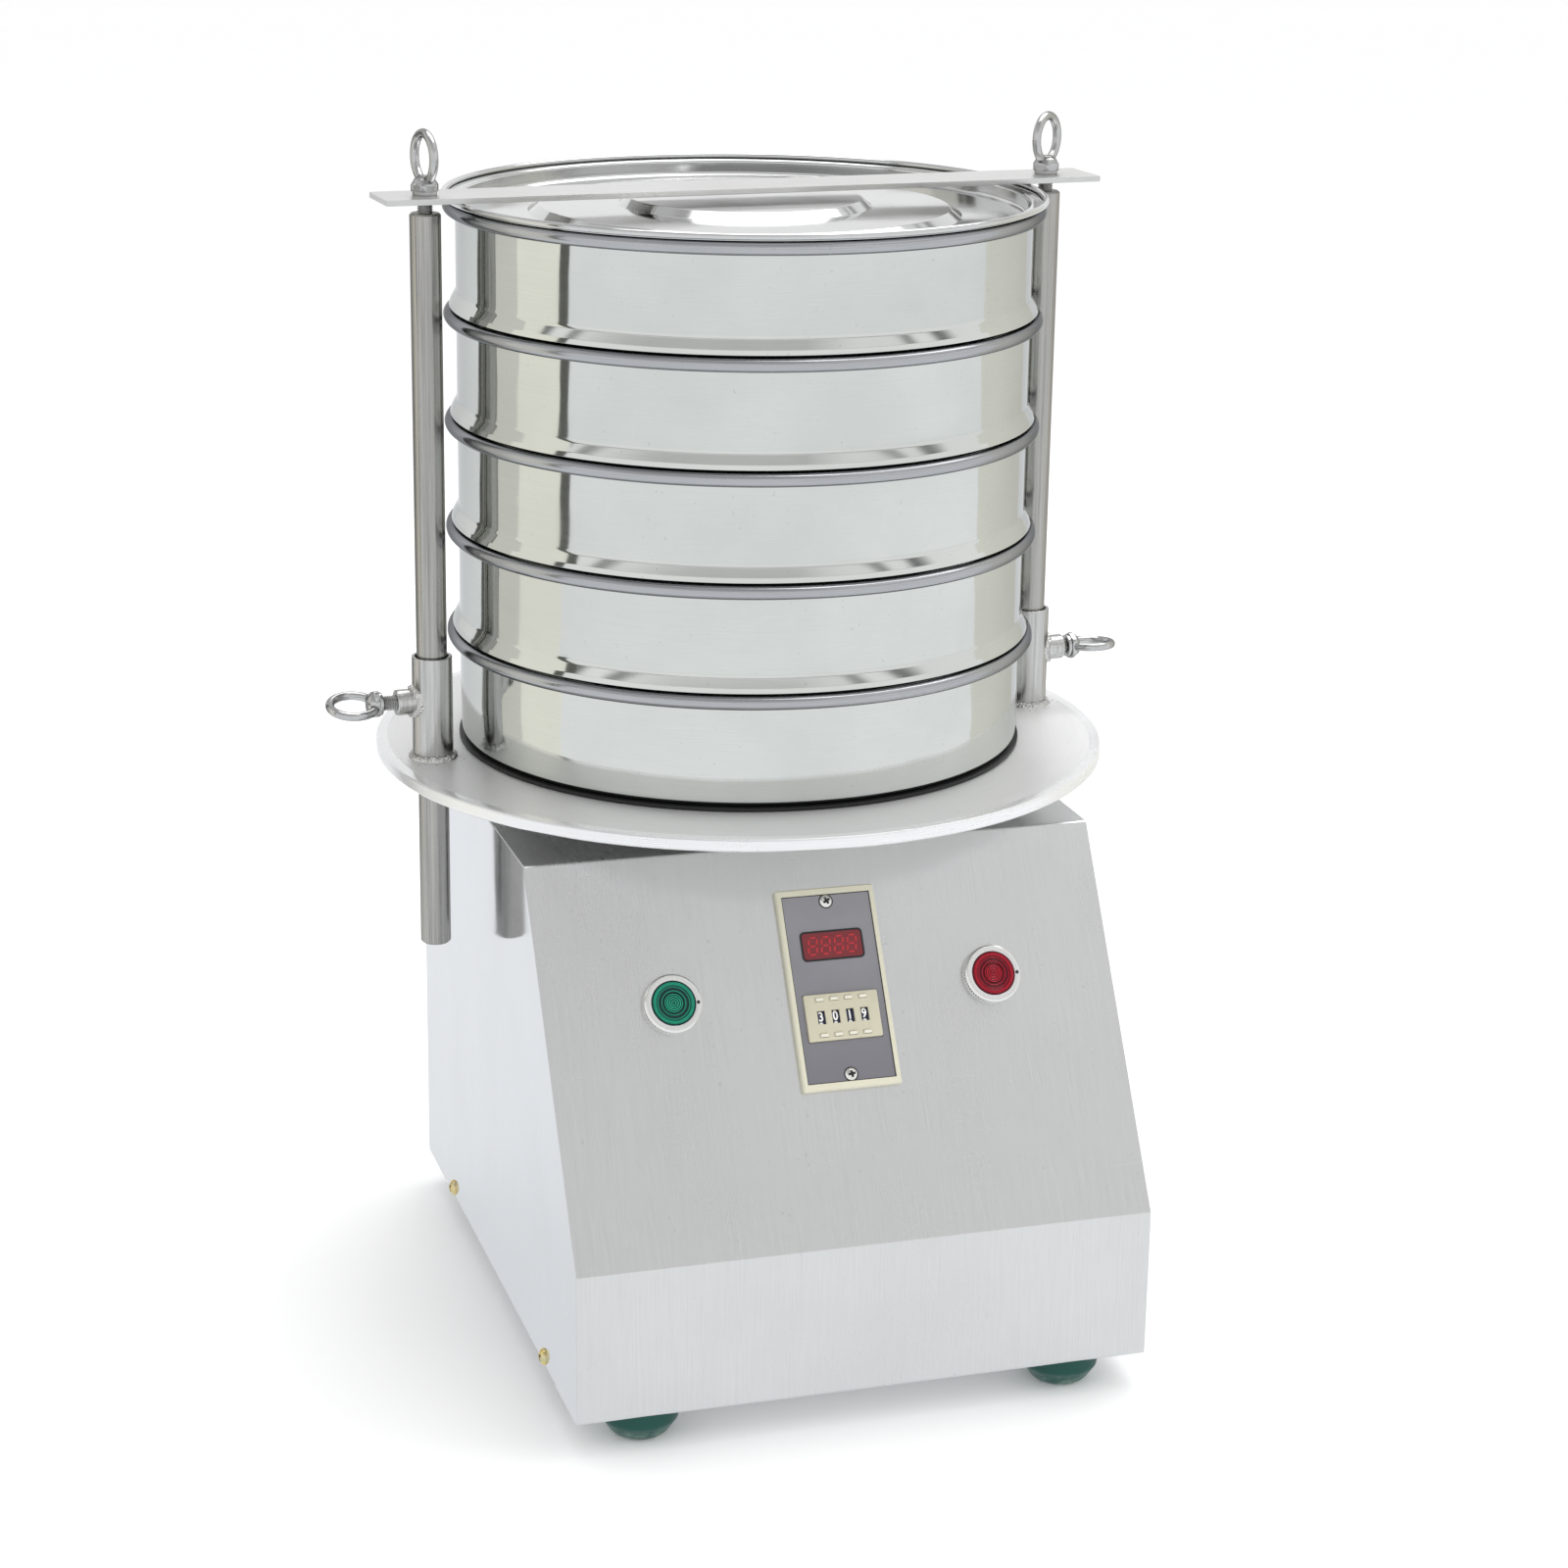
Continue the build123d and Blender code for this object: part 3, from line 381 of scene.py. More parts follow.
def feed(tree, socket, value):
    """Gives a socket what it needs: a link from another socket, or a plain value."""
    if isinstance(value, bpy.types.NodeSocket):
        tree.links.new(value, socket)
    elif socket.type == "RGBA":
        socket.default_value = (*value[:3], 1.0)
    else:
        socket.default_value = value


def add(tree, kind, inputs=None, **settings):
    """A shader node with its properties, and its inputs by name or number."""
    node = tree.nodes.new("ShaderNode" + kind)
    for key, value in settings.items():
        setattr(node, key, value)
    for key, value in (inputs or {}).items():
        feed(tree, node.inputs[key], value)
    return node


def maths(tree, operation, *values, clamp=False):
    """The result of a maths node on sockets or numbers."""
    node = add(tree, "Math", dict(enumerate(values)), operation=operation, use_clamp=clamp)
    return node.outputs[0]


def vectors(tree, operation, *values):
    """The result of a vector maths node."""
    node = add(tree, "VectorMath", dict(enumerate(values)), operation=operation)
    return node.outputs["Value" if operation == "LENGTH" else "Vector"]


def parts_of(tree, vector):
    """The X, Y and Z of a vector."""
    return add(tree, "SeparateXYZ", {0: vector}).outputs


def spread(tree, value, low, high, to_low=0.0, to_high=1.0):
    """A value stretched from one range to another, held at the ends."""
    ends = {"From Min": low, "From Max": high, "To Min": to_low, "To Max": to_high}
    return add(tree, "MapRange", {"Value": value, **ends}, clamp=True).outputs["Result"]


def noise_of(tree, vector, scale, detail=2.0, rough=0.5):
    """A noise texture's value on a vector socket."""
    look = {"Vector": vector, "Scale": scale, "Detail": detail, "Roughness": rough}
    return add(tree, "TexNoise", look).outputs["Fac"]


def mixed(tree, factor, low, high):
    """A colour between two colours."""
    return add(tree, "Mix", {0: factor, 6: low, 7: high}, data_type="RGBA").outputs[2]


def between(tree, factor, low, high):
    """A value between two values."""
    return add(tree, "Mix", {0: factor, 2: low, 3: high}, data_type="FLOAT").outputs[0]


def shade(colour, share):
    """A lighter or darker tone of a colour."""
    return tuple(min(1, c * share) for c in colour)


def layered(tree, tone, *layers):
    """A colour with layers over it, each one a mask, its strength and its colour."""
    for mask, strength, colour in layers:
        if strength:
            tone = mixed(tree, maths(tree, "MULTIPLY", mask, strength), tone, colour)
    return tone


def summed(tree, base, *shares):
    """A base number and each mask times its weight, added up."""
    total = None
    for mask, weight in shares:
        share = maths(tree, "MULTIPLY", mask, weight)
        total = share if total is None else maths(tree, "ADD", total, share)
    return maths(tree, "ADD", total, base)


def relief(tree, height, strength, distance, under=None):
    """The normal of small relief, laid over another normal where one is given."""
    look = {"Strength": strength, "Distance": distance, "Height": height}
    if under is not None:
        look["Normal"] = under
    return add(tree, "Bump", look).outputs[0]


def new_group(name, inputs, outputs):
    """A node group with its sockets. Each input is (name, socket type, default or None)."""
    group = bpy.data.node_groups.new(name, "ShaderNodeTree")
    for label, kind, default in inputs:
        socket = group.interface.new_socket(label, in_out="INPUT", socket_type="NodeSocket" + kind)
        if default is not None:
            socket.default_value = default
    for label, kind in outputs:
        group.interface.new_socket(label, in_out="OUTPUT", socket_type="NodeSocket" + kind)
    return group, group.nodes.new("NodeGroupInput").outputs, group.nodes.new("NodeGroupOutput").inputs


def make_grain_group():
    """Fine lines left by a belt or a lathe tool. Stretch is the lines per metre each way."""
    inputs = [("Place", "Vector", None), ("Stretch", "Vector", (1.0, 1.0, 1.0))]
    group, into, out = new_group("grain_lines", inputs, [("Lines", "Float"), ("Bands", "Float")])
    scaled = vectors(group, "MULTIPLY", into["Place"], into["Stretch"])
    fine = noise_of(group, scaled, 1.0, 5.0, 0.75)
    feed(group, out["Lines"], spread(group, fine, 0.28, 0.72))
    feed(group, out["Bands"], spread(group, noise_of(group, scaled, 0.09), 0.3, 0.7))
    return group


def make_wear_group():
    """Handling marks: soft smudges, small specks and thin stray scratches."""
    outputs = [("Smudge", "Float"), ("Speck", "Float"), ("Scratch", "Float")]
    group, into, out = new_group("handling_marks", [("Place", "Vector", None)], outputs)
    place = into["Place"]
    cloud = noise_of(group, place, 14.0, 4.0, 0.55)
    feed(group, out["Smudge"], spread(group, cloud, 0.38, 0.66))
    feed(group, out["Speck"], spread(group, noise_of(group, place, 420.0), 0.7, 0.76))
    marks = []
    for angle, stretch in ((0.5, (900.0, 22.0, 60.0)), (1.9, (30.0, 800.0, 40.0))):
        tilt = (angle, angle * 0.6, angle * 1.3)
        lay = add(group, "Mapping", {"Vector": place, "Rotation": tilt, "Scale": stretch})
        marks.append(spread(group, noise_of(group, lay.outputs[0], 1.0, 1.0, 0.4), 0.735, 0.78))
    feed(group, out["Scratch"], maths(group, "MAXIMUM", *marks))
    return group


def make_turning_group():
    """Coordinates for lathe marks about the plate's axis: radius, height and a slow change round."""
    inputs = [("Place", "Vector", None), ("Slow", "Float", 3.0)]
    group, into, out = new_group("about_plate_axis", inputs, [("Turned", "Vector")])
    centred = vectors(group, "SUBTRACT", into["Place"], (axis_x * MM, axis_y * MM, 0.0))
    flat = vectors(group, "MULTIPLY", centred, (1.0, 1.0, 0.0))
    round_way = parts_of(group, vectors(group, "NORMALIZE", flat))
    slow = maths(group, "MULTIPLY", round_way["X"], into["Slow"])
    slow = maths(group, "ADD", slow, maths(group, "MULTIPLY", round_way["Y"], 1.7))
    height = parts_of(group, centred)["Z"]
    turned = {"X": vectors(group, "LENGTH", flat), "Y": height, "Z": slow}
    feed(group, out["Turned"], add(group, "CombineXYZ", turned).outputs[0])
    return group


def make_dust_group():
    """Dust that gathers on worn rubber: more of it low down, broken up by noise."""
    inputs = [("Place", "Vector", None), ("Height", "Float", 0.01)]
    group, into, out = new_group("floor_dust", inputs, [("Dust", "Float"), ("Pores", "Float")])
    rise = maths(group, "DIVIDE", parts_of(group, into["Place"])["Z"], into["Height"])
    low = maths(group, "SUBTRACT", 1.15, rise, clamp=True)
    cloud = spread(group, noise_of(group, into["Place"], 150.0, 5.0, 0.65), 0.42, 0.66)
    feed(group, out["Dust"], maths(group, "MULTIPLY", low, cloud))
    feed(group, out["Pores"], noise_of(group, into["Place"], 1800.0))
    return group


grain_lines = make_grain_group()
handling_marks = make_wear_group()
about_plate_axis = make_turning_group()
floor_dust = make_dust_group()


def bare_material(name):
    """A material without nodes, and its tree."""
    material = bpy.data.materials.new(name)
    material.use_nodes = True
    material.node_tree.nodes.clear()
    return material, material.node_tree


def start_material(name):
    """A material for the part: its tree, and the part's own coordinates."""
    material, tree = bare_material(name)
    return material, tree, add(tree, "TexCoord").outputs["Object"]


def surfaced(material, look):
    """The material with its main shader and that shader's values."""
    tree = material.node_tree
    add(tree, "OutputMaterial", {"Surface": add(tree, "BsdfPrincipled", look).outputs[0]})
    return material


def use_group(tree, group, place, **values):
    """The outputs of a shared group in a material."""
    return add(tree, "Group", {"Place": place, **values}, node_tree=group).outputs


def metal(name, colour, rough, stretch, grain=0.08, smear=0.08, depth=0.1, turned=False,
          lay=None, brush=0.5, cloud=0.0, wave=0.0, edge=1.0, bare=1.0):
    """Bare metal with grain lines, smudges, specks and stray scratches.

    The grain runs about the plate's axis where the metal is turned, or else along lay. cloud
    is the strength of soft tone patches, wave the depth of shallow ripples in metres, edge the
    tone of what it mirrors at a glancing angle, and bare is below 1 where a sanded face
    scatters light.
    """
    material, tree, place = start_material(name)
    grain_place = use_group(tree, about_plate_axis, place)["Turned"] if turned else place
    lines = use_group(tree, grain_lines, grain_place, Stretch=stretch)
    marks = use_group(tree, handling_marks, place)
    look = {"Metallic": bare, "Specular Tint": (edge, edge, edge)}
    look["Base Color"] = layered(
        tree,
        mixed(tree, lines["Lines"], shade(colour, 1 - grain * 2.2), colour),
        (lines["Bands"], 0.5, shade(colour, 1 - grain)),
        (marks["Smudge"], cloud, shade(colour, 0.8)),
        (marks["Speck"], 0.3, shade(colour, 0.55)),
        (marks["Scratch"], 0.07, shade(colour, 1.1)),
    )
    grain_gloss = (lines["Lines"], grain * 0.8)
    scratch_gloss = (marks["Scratch"], 0.04)
    look["Roughness"] = summed(tree, rough, (marks["Smudge"], smear), grain_gloss, scratch_gloss)
    if turned:
        look["Tangent"] = add(tree, "Tangent", direction_type="RADIAL", axis="Z").outputs[0]
    elif lay:
        look["Tangent"] = add(tree, "CombineXYZ", dict(enumerate(lay))).outputs[0]
    if turned or lay:
        look["Anisotropic"] = brush
    ripples = relief(tree, noise_of(tree, place, 26.0, 1.0, 0.4), 1.0, wave) if wave else None
    look["Normal"] = relief(tree, lines["Lines"], depth, 0.00004, ripples)
    return surfaced(material, look)


def plastic(name, colour, rough, spots, depth, fine=900.0, coat=0.0, glow=0.0):
    """Moulded plastic with a slight texture, shade changes and handling smudges."""
    material, tree, place = start_material(name)
    marks = use_group(tree, handling_marks, place)
    look = {"Coat Weight": coat, "Coat Roughness": 0.08}
    smudge = (marks["Smudge"], 0.6, shade(colour, 1 - spots))
    look["Base Color"] = layered(tree, colour, smudge, (marks["Speck"], 0.4, shade(colour, 0.6)))
    look["Roughness"] = summed(tree, rough, (marks["Smudge"], 0.12), (marks["Scratch"], 0.15))
    look["Normal"] = relief(tree, noise_of(tree, place, fine), depth, 0.00005)
    if glow:
        look.update({"Emission Color": colour, "Emission Strength": glow})
    return surfaced(material, look)


def printed_face(name, upper, lower, top, bottom):
    """Printed plastic that grows darker towards its lower end."""
    material, tree, place = start_material(name)
    marks = use_group(tree, handling_marks, place)
    share = spread(tree, parts_of(tree, place)["Z"], bottom * MM, top * MM)
    tone = mixed(tree, share, lower, upper)
    return surfaced(material, {
        "Base Color": layered(tree, tone, (marks["Smudge"], 0.3, shade(lower, 0.85))),
        "Roughness": summed(tree, 0.4, (marks["Smudge"], 0.1)),
        "Normal": relief(tree, noise_of(tree, place, 1600.0), 0.08, 0.00005),
    })


def rubber(name, colour, dusty, height):
    """Matt rubber with pores and a bloom of dust near the floor."""
    material, tree, place = start_material(name)
    dust = use_group(tree, floor_dust, place, Height=height)
    marks = use_group(tree, handling_marks, place)
    tone = layered(tree, colour, (marks["Smudge"], 0.5, shade(colour, 0.65)))
    return surfaced(material, {
        "Base Color": mixed(tree, dust["Dust"], tone, dusty),
        "Roughness": spread(tree, dust["Dust"], 0.0, 1.0, 0.48, 0.85),
        "Specular IOR Level": 0.35,
        "Normal": relief(tree, dust["Pores"], 0.25, 0.00012),
    })


def zinc_plating(name):
    """Yellow passivated zinc: straw yellow with patches of pink and green."""
    material, tree, place = start_material(name)
    marks = use_group(tree, handling_marks, place)
    pink = spread(tree, noise_of(tree, place, 330.0), 0.35, 0.65)
    green = spread(tree, noise_of(tree, place, 210.0, 1.0, 0.4), 0.5, 0.68)
    straw = mixed(tree, pink, (0.78, 0.6, 0.22), (0.72, 0.62, 0.4))
    specks = (marks["Speck"], 0.5, (0.25, 0.16, 0.06))
    return surfaced(material, {
        "Base Color": layered(tree, straw, (green, 0.6, (0.55, 0.62, 0.36)), specks),
        "Metallic": 1.0,
        "Roughness": spread(tree, pink, 0.0, 1.0, 0.2, 0.34),
        "Normal": relief(tree, pink, 0.1, 0.00004),
    })


def lens(name, bright, deep, centre):
    """A clear coloured lens over its dark body, with the light its pressed rings catch painted into
    its colour as bright rings.
    """
    material, tree, place = start_material(name)
    across = vectors(tree, "SUBTRACT", place, tuple(centre * MM))
    across = vectors(tree, "CROSS_PRODUCT", across, tuple(panel_normal))
    radius = maths(tree, "MULTIPLY", vectors(tree, "LENGTH", across), 1000.0)

    def pressed_rings(pitch):
        return maths(tree, "COSINE", maths(tree, "MULTIPLY", radius, 2 * math.pi / pitch))

    # Painted highlights: fine bright rings in the middle, broad ones round them and a bright ring
    # near the rim, with painted shade fading them out at the edge.
    fine = spread(tree, pressed_rings(1.15), -0.3, 0.7, 0.05, 1.0)
    broad = spread(tree, pressed_rings(2.05), 0.0, 1.0, 0.02, 0.55)
    broad = maths(tree, "MAXIMUM", broad, spread(tree, radius, 8.8, 9.3, 0.0, 0.6))
    rings = between(tree, spread(tree, radius, 4.7, 4.9, 1.0, 0.0), broad, fine)
    catch = maths(tree, "MULTIPLY", rings, spread(tree, radius, 10.3, 10.9, 1.0, 0.05))
    cloud = spread(tree, noise_of(tree, place, 260.0), 0.3, 0.7, 0.75, 1.0)
    marks = use_group(tree, handling_marks, place)
    return surfaced(material, {
        "Base Color": mixed(tree, maths(tree, "MULTIPLY", catch, cloud), deep, bright),
        "Roughness": summed(tree, 0.08, (marks["Smudge"], 0.06)),
        "Specular IOR Level": 0.2,
        "Coat Weight": 0.1,
        "Coat Roughness": 0.03,
    })


def evenly(lines):
    """The same number of grain lines per metre each way."""
    return (lines, lines, lines)


upright = (0.0, 0.0, 1.0)
slope_lay = (0.0, panel_up.y, panel_up.z)
bar_lay = (math.cos(clamp_turn), math.sin(clamp_turn), 0.0)

# Sheet metal: colour, roughness, grain lines per metre, grain, smear, depth of the grain
steel_slope = metal("slope_steel", (0.78, 0.785, 0.78), 0.2, (2600.0, 30.0, 30.0), 0.06, 0.06, 0.12,
                    lay=slope_lay, brush=0.45, cloud=0.25, wave=0.0001)
steel_side = metal("side_steel", (0.71, 0.72, 0.74), 0.045, (24.0, 1800.0, 16.0), 0.03, 0.04, 0.03,
                   lay=upright, brush=0.3, cloud=0.15, wave=0.00015)
inner_steel = metal("inner_sheet", (0.42, 0.43, 0.44), 0.38, (60.0, 900.0, 60.0), 0.12, 0.14, 0.12)

# Turned and drawn metal, with its grain about the plate's axis
steel_plate = metal("turned_plate_steel", (0.84, 0.845, 0.84), 0.38, (2600.0, 900.0, 2.0), 0.07, 0.08,
                    0.2, turned=True, cloud=0.15, bare=0.55)
steel_rim = metal("plate_edge_steel", (0.92, 0.925, 0.93), 0.2, (900.0, 2600.0, 3.0), 0.05, 0.08,
                  0.1, turned=True, bare=0.7)
steel_wall = metal("vessel_steel", (0.735, 0.755, 0.73), 0.02, (300.0, 2600.0, 3.0), 0.05, 0.045,
                   0.02, turned=True, brush=0.2, cloud=0.4, wave=0.0003, edge=0.7)
# The rolled rims are the walls' own sheet: this darker copy of it, with dim glancing reflections, is
# painted shade.
steel_bead_painted_shade = metal("bead_steel_painted_shade", (0.52, 0.53, 0.55), 0.08, (2200.0, 2200.0, 3.0), 0.1, 0.08,
                   0.08, turned=True, brush=0.2, cloud=0.35, edge=0.3)
steel_lid = metal("lid_steel", (0.68, 0.685, 0.68), 0.05, (1500.0, 1500.0, 2.0), 0.05, 0.07,
                  0.04, turned=True, brush=0.35, cloud=0.3, wave=0.0001)

# Rods, pipe, bar and small metal parts
steel_rod = metal("drawn_rod_steel", (0.6, 0.59, 0.56), 0.1, (800.0, 800.0, 7.0), 0.3, 0.1, 0.22,
                  lay=upright, brush=0.3, cloud=0.4, wave=0.00006, edge=0.5)
steel_tube = metal("pipe_steel", (0.8, 0.795, 0.78), 0.08, (520.0, 520.0, 9.0), 0.3, 0.08, 0.16,
                   lay=upright, brush=0.3, cloud=0.25, wave=0.00005, edge=0.55)
steel_bar = metal("flat_bar_steel", (0.77, 0.77, 0.755), 0.24, (20.0, 2000.0, 2000.0), 0.1, 0.1, 0.14,
                  lay=bar_lay, cloud=0.25)
steel_thread = metal("screw_steel", (0.5, 0.5, 0.49), 0.2, evenly(700.0), 0.1, 0.1, edge=0.6)
steel_weld = metal("weld_metal", (0.92, 0.91, 0.89), 0.08, evenly(1300.0), 0.3, 0.08, 0.8,
                   cloud=0.4, edge=0.6)
steel_cloth = metal("cloth_wire", (0.58, 0.58, 0.56), 0.24, evenly(900.0), 0.08, 0.05, 0.05)
chrome = metal("bright_eye_steel", (0.62, 0.62, 0.62), 0.08, evenly(160.0), 0.1, cloud=0.3, edge=0.35)
nickel = metal("nickel_plate", (0.86, 0.85, 0.82), 0.12, evenly(400.0), 0.05, 0.06, 0.04)
plain_zinc = metal("plain_zinc", (0.62, 0.63, 0.65), 0.28, evenly(500.0), 0.1, 0.1, 0.08)
ground_steel = metal("ground_steel", (0.6, 0.6, 0.6), 0.2, (80.0, 80.0, 2200.0), 0.07, 0.08, 0.06)
ring_bright = metal("ring_bright", (0.9, 0.9, 0.88), 0.14, evenly(700.0), 0.05, 0.08, 0.06)
yellow_zinc = zinc_plating("yellow_zinc")

# Plastics and paint: colour, roughness, depth of the smudges' tone, relief, grain per metre
cream = plastic("cream_plastic", (0.7, 0.68, 0.54), 0.34, 0.06, 0.08, 1400.0)
# The tabs and the thumbwheel block are one cream plastic: this lighter copy for the tabs is painted
# highlight.
cream_painted_highlight = plastic("tab_cream_painted_highlight", (0.8, 0.78, 0.66), 0.36, 0.05, 0.06, 1400.0)
# This darker copy of the same cream plastic, for the thumbwheel block, is painted shade.
cream_painted_shade = plastic("block_cream_painted_shade", (0.61, 0.58, 0.44), 0.38, 0.08, 0.06, 1400.0)
grey_face = printed_face("printed_grey_face", (0.29, 0.285, 0.31), (0.18, 0.178, 0.2), 240.0, 175.0)
dark_plastic = plastic("dark_plastic", (0.02, 0.02, 0.025), 0.42, 0.2, 0.12)
navy = plastic("navy_wheel", (0.015, 0.02, 0.06), 0.35, 0.1, 0.04)
# The white figures glow a little: painted light that keeps them bright inside the shaded wheels.
white_print_painted_glow = plastic("white_print_painted_glow", (0.85, 0.85, 0.83), 0.5, 0.05, 0.02, glow=0.25)
black_print = plastic("black_print", (0.012, 0.012, 0.014), 0.45, 0.1, 0.02)
display_red = plastic("display_red", (0.19, 0.009, 0.016), 0.2, 0.12, 0.02, 700.0, coat=0.3)
segment_red = plastic("segment_red", (0.5, 0.02, 0.03), 0.3, 0.3, 0.02, 700.0, glow=0.05)
motor_paint = plastic("motor_paint", (0.09, 0.11, 0.14), 0.4, 0.12, 0.3, 700.0)
cast_iron = plastic("cast_iron", (0.08, 0.08, 0.08), 0.62, 0.2, 0.8, 500.0)
nylon = plastic("black_nylon", (0.02, 0.02, 0.02), 0.46, 0.15, 0.2, 1200.0)


def button_centre(x):
    """Centre of a push button on the sloping panel."""
    return Vector((axis_x + x, top_front, housing_top)) - panel_up * button_drop


start_centre = button_centre(-button_reach)
stop_centre = button_centre(button_reach)
# Each lens gets the colour of its painted ring highlights, then the colour of its dark body.
lens_green = lens("green_lens", (0.015, 0.42, 0.24), (0.003, 0.018, 0.024), start_centre)
lens_red = lens("red_lens", (0.5, 0.012, 0.03), (0.075, 0.0, 0.006), stop_centre)
green_rubber = rubber("green_rubber", (0.006, 0.075, 0.06), (0.22, 0.3, 0.26), 0.009)
black_rubber = rubber("black_rubber", (0.012, 0.012, 0.013), (0.1, 0.1, 0.1), 0.002)


# Vessels


def make_vessel_wall(name, foot, top, body, stands_for):
    """A wall rolled outwards over its wire at the top. foot lists (radius, z) from inside up."""
    wire = top - bead_radius
    roll = arc((bead_centre, wire), bead_radius, 168, -150, 30)
    tuck = [(1.15, 2.3), (0.55, 2.9), (0.12, 3.2)]
    tuck = [(wall_outer + out, wire - down) for out, down in tuck]
    rim = lathe([(wall_inner, wire - 1.5)] + roll + tuck, 256)
    inside = [(wall_inner + 0.05, wire), (wall_inner, wire - 4.0)]
    wall = lathe(inside + foot + [(wall_outer, wire - 4.6), tuck[-1]], 256)
    piece(name + "_wall", on_axis(wall), body, steel_wall, 38, stands_for)
    piece(name + "_rim", on_axis(rim), body, steel_bead_painted_shade, 60)


def seam_bead(angle, radius, low, high):
    """The dressed weld down a vessel's wall, as a slightly raised narrow strip."""
    rows = 60
    profile = ((-1.6, -0.05), (-0.9, 0.1), (0.0, 0.16), (0.9, 0.1), (1.6, -0.05))
    points = []
    for row in range(rows + 1):
        z = low + (high - low) * row / rows
        wobble = 0.25 * noise.noise(Vector((z * 0.35, angle, 3.0)))
        for offset, rise in profile:
            a = angle + (offset + wobble) / radius
            ripple = 0.03 * math.sin(z * 4.2 - abs(offset) * 1.5) if abs(offset) < 1 else 0
            r = radius + rise + ripple
            points.append((r * math.cos(a), r * math.sin(a), z))
    return points, row_faces(rows + 1, len(profile), around=False)


def make_pan():
    """The catch pan: a drawn body with a rounded corner."""
    taper = 0.6
    upright_from = pan_bottom + 30

    def drawn(radius, level, corner):
        return rounded([(0, level, 0), (radius - taper, level, corner), (radius, upright_from, 0)], 8)

    inner = drawn(wall_inner, pan_bottom + sheet, 3.2)
    outer = drawn(wall_outer, pan_bottom, 4.0)
    make_vessel_wall("pan", inner[::-1] + outer, pan_top, "pan", ("receiving_pan",))


def make_sieve(number):
    """A sieve frame with its flared seat and skirt."""
    rest = sieve_rests[number]
    body = f"sieve_{number}"
    foot = (
        (wall_inner, 14.0, 0),
        (wall_inner, 9.0, 4),
        (seat_radius - 1.76, 3.8, 1.0),
        (seat_radius - 1.76, sheet, 0.3),
        (skirt_inner, sheet, 0),
        (skirt_inner, -skirt_drop, 0.3),
        (skirt_outer, -skirt_drop, 0.3),
        (skirt_outer, 0, 0.2),
        (seat_radius - 2.0, 0, 0.5),
        (seat_radius, 1.1, 0.3),
        (seat_radius - 0.8, 3.6, 2),
        (wall_outer, 9.0, 5),
        (wall_outer, 14.0, 0),
    )
    foot = rounded([(radius, rest + rise, fold) for radius, rise, fold in foot])
    make_vessel_wall(body, foot, rest + sieve_height, body, (f"sieve_frame_{number}",))
    turned = math.radians(96 + number * 3)
    seam = seam_bead(turned, wall_outer, rest + 10, rest + sieve_height - 7.5)
    piece(body + "_seam", on_axis(seam), body, steel_thread, 50)


def woven(radius, pitch, wire, level):
    """Plain woven cloth: each wire rises and dips over the wires it crosses."""
    count = int(radius / pitch)
    r = wire / 2
    wires = []
    for lay in (0, 1):
        for line in range(-count, count + 1):
            across = line * pitch
            half = math.sqrt(max(radius * radius - across * across, 0))
            reach = int(half / pitch)
            if reach < 1:
                continue
            stations = [-half, *(k * pitch for k in range(-reach, reach + 1)), half]
            points = []
            for station in stations:
                over = (round(station / pitch) + line + lay) % 2 == 0
                z = level + wire + (r if over else -r)
                for dx, dz in ((-r, 0.0), (0.0, r), (r, 0.0), (0.0, -r)):
                    spot = (across + dx, station) if lay else (station, across + dx)
                    points.append((*spot, z + dz))
            wires.append((points, row_faces(len(stations), 4, flip=not lay)))
    return joined(*wires)


def make_cloth(number, pitch, wire):
    """The woven cloth of a sieve, turned a little as it was cut, with its soldered edge."""
    level = sieve_rests[number] + sheet
    body = f"sieve_{number}"
    cloth = moved(woven(150.0, pitch, wire, level), turn(7 * number, "Z"))
    cloth = on_axis(cloth)
    solder = ((147.9, 0, 0), (150.6, 0, 0.2), (150.6, 1.1, 0.3), (149.6, 1.3, 0.6), (147.9, 0.5, 0.3))
    solder = rounded([(radius, level + rise, fold) for radius, rise, fold in solder], 3, True)
    edge = on_axis(lathe(solder, 160, True))
    piece(body + "_cloth", cloth, body, steel_cloth, 70, (f"wire_cloth_{number}",))
    piece(body + "_cloth_edge", edge, body, plain_zinc, 50)


def make_lid():
    """The pressed lid: wired rim, well and two raised rounds with soft folds."""
    floor = lid_rest - 7.4
    fold = 1.8
    well = 147.8
    thick = 1.0
    # Radius, rise over the floor of the well, and how far the sheet's underside steps in or out
    steps = (
        (0, 8.0, 0),
        (61.0, 8.0, -0.6),
        (66.0, 4.0, -0.6),
        (107.0, 4.0, -0.6),
        (113.0, 0.0, -0.6),
        (well, 0.0, thick),
        (well, 8.4, thick),
        (155.2, 8.4, 0),
    )
    upper = rounded([(r, floor + rise, fold) for r, rise, step in steps], 7)
    under = rounded([(r + step, floor + rise - thick, fold) for r, rise, step in steps], 7)

    def dished(angle, index, radius, z):
        """A pressed sheet is never quite flat."""
        if radius >= 140:
            return radius, z
        spot = Vector((radius * 0.02 * math.cos(angle), radius * 0.02 * math.sin(angle), 5.0))
        return radius, z + 0.12 * noise.noise(spot)

    lid_sheet = lathe(upper + under[::-1], 256, False, dished)
    roll = arc((156.4, lid_rest + 2.1), 1.6, 200, -100, 20)
    roll = lathe(roll + [(156.0, lid_rest + 0.45), (154.6, lid_rest + 0.5)], 256)
    piece("lid_sheet", on_axis(lid_sheet), "lid", steel_lid, 34, ("lid",))
    piece("lid_rim", on_axis(roll), "lid", steel_lid, 60)


make_pan()
for number, pitch, wire in ((1, 5.0, 0.8), (2, 4.0, 0.7), (3, 3.2, 0.6), (4, 2.5, 0.5)):
    make_sieve(number)
    make_cloth(number, pitch, wire)
make_lid()


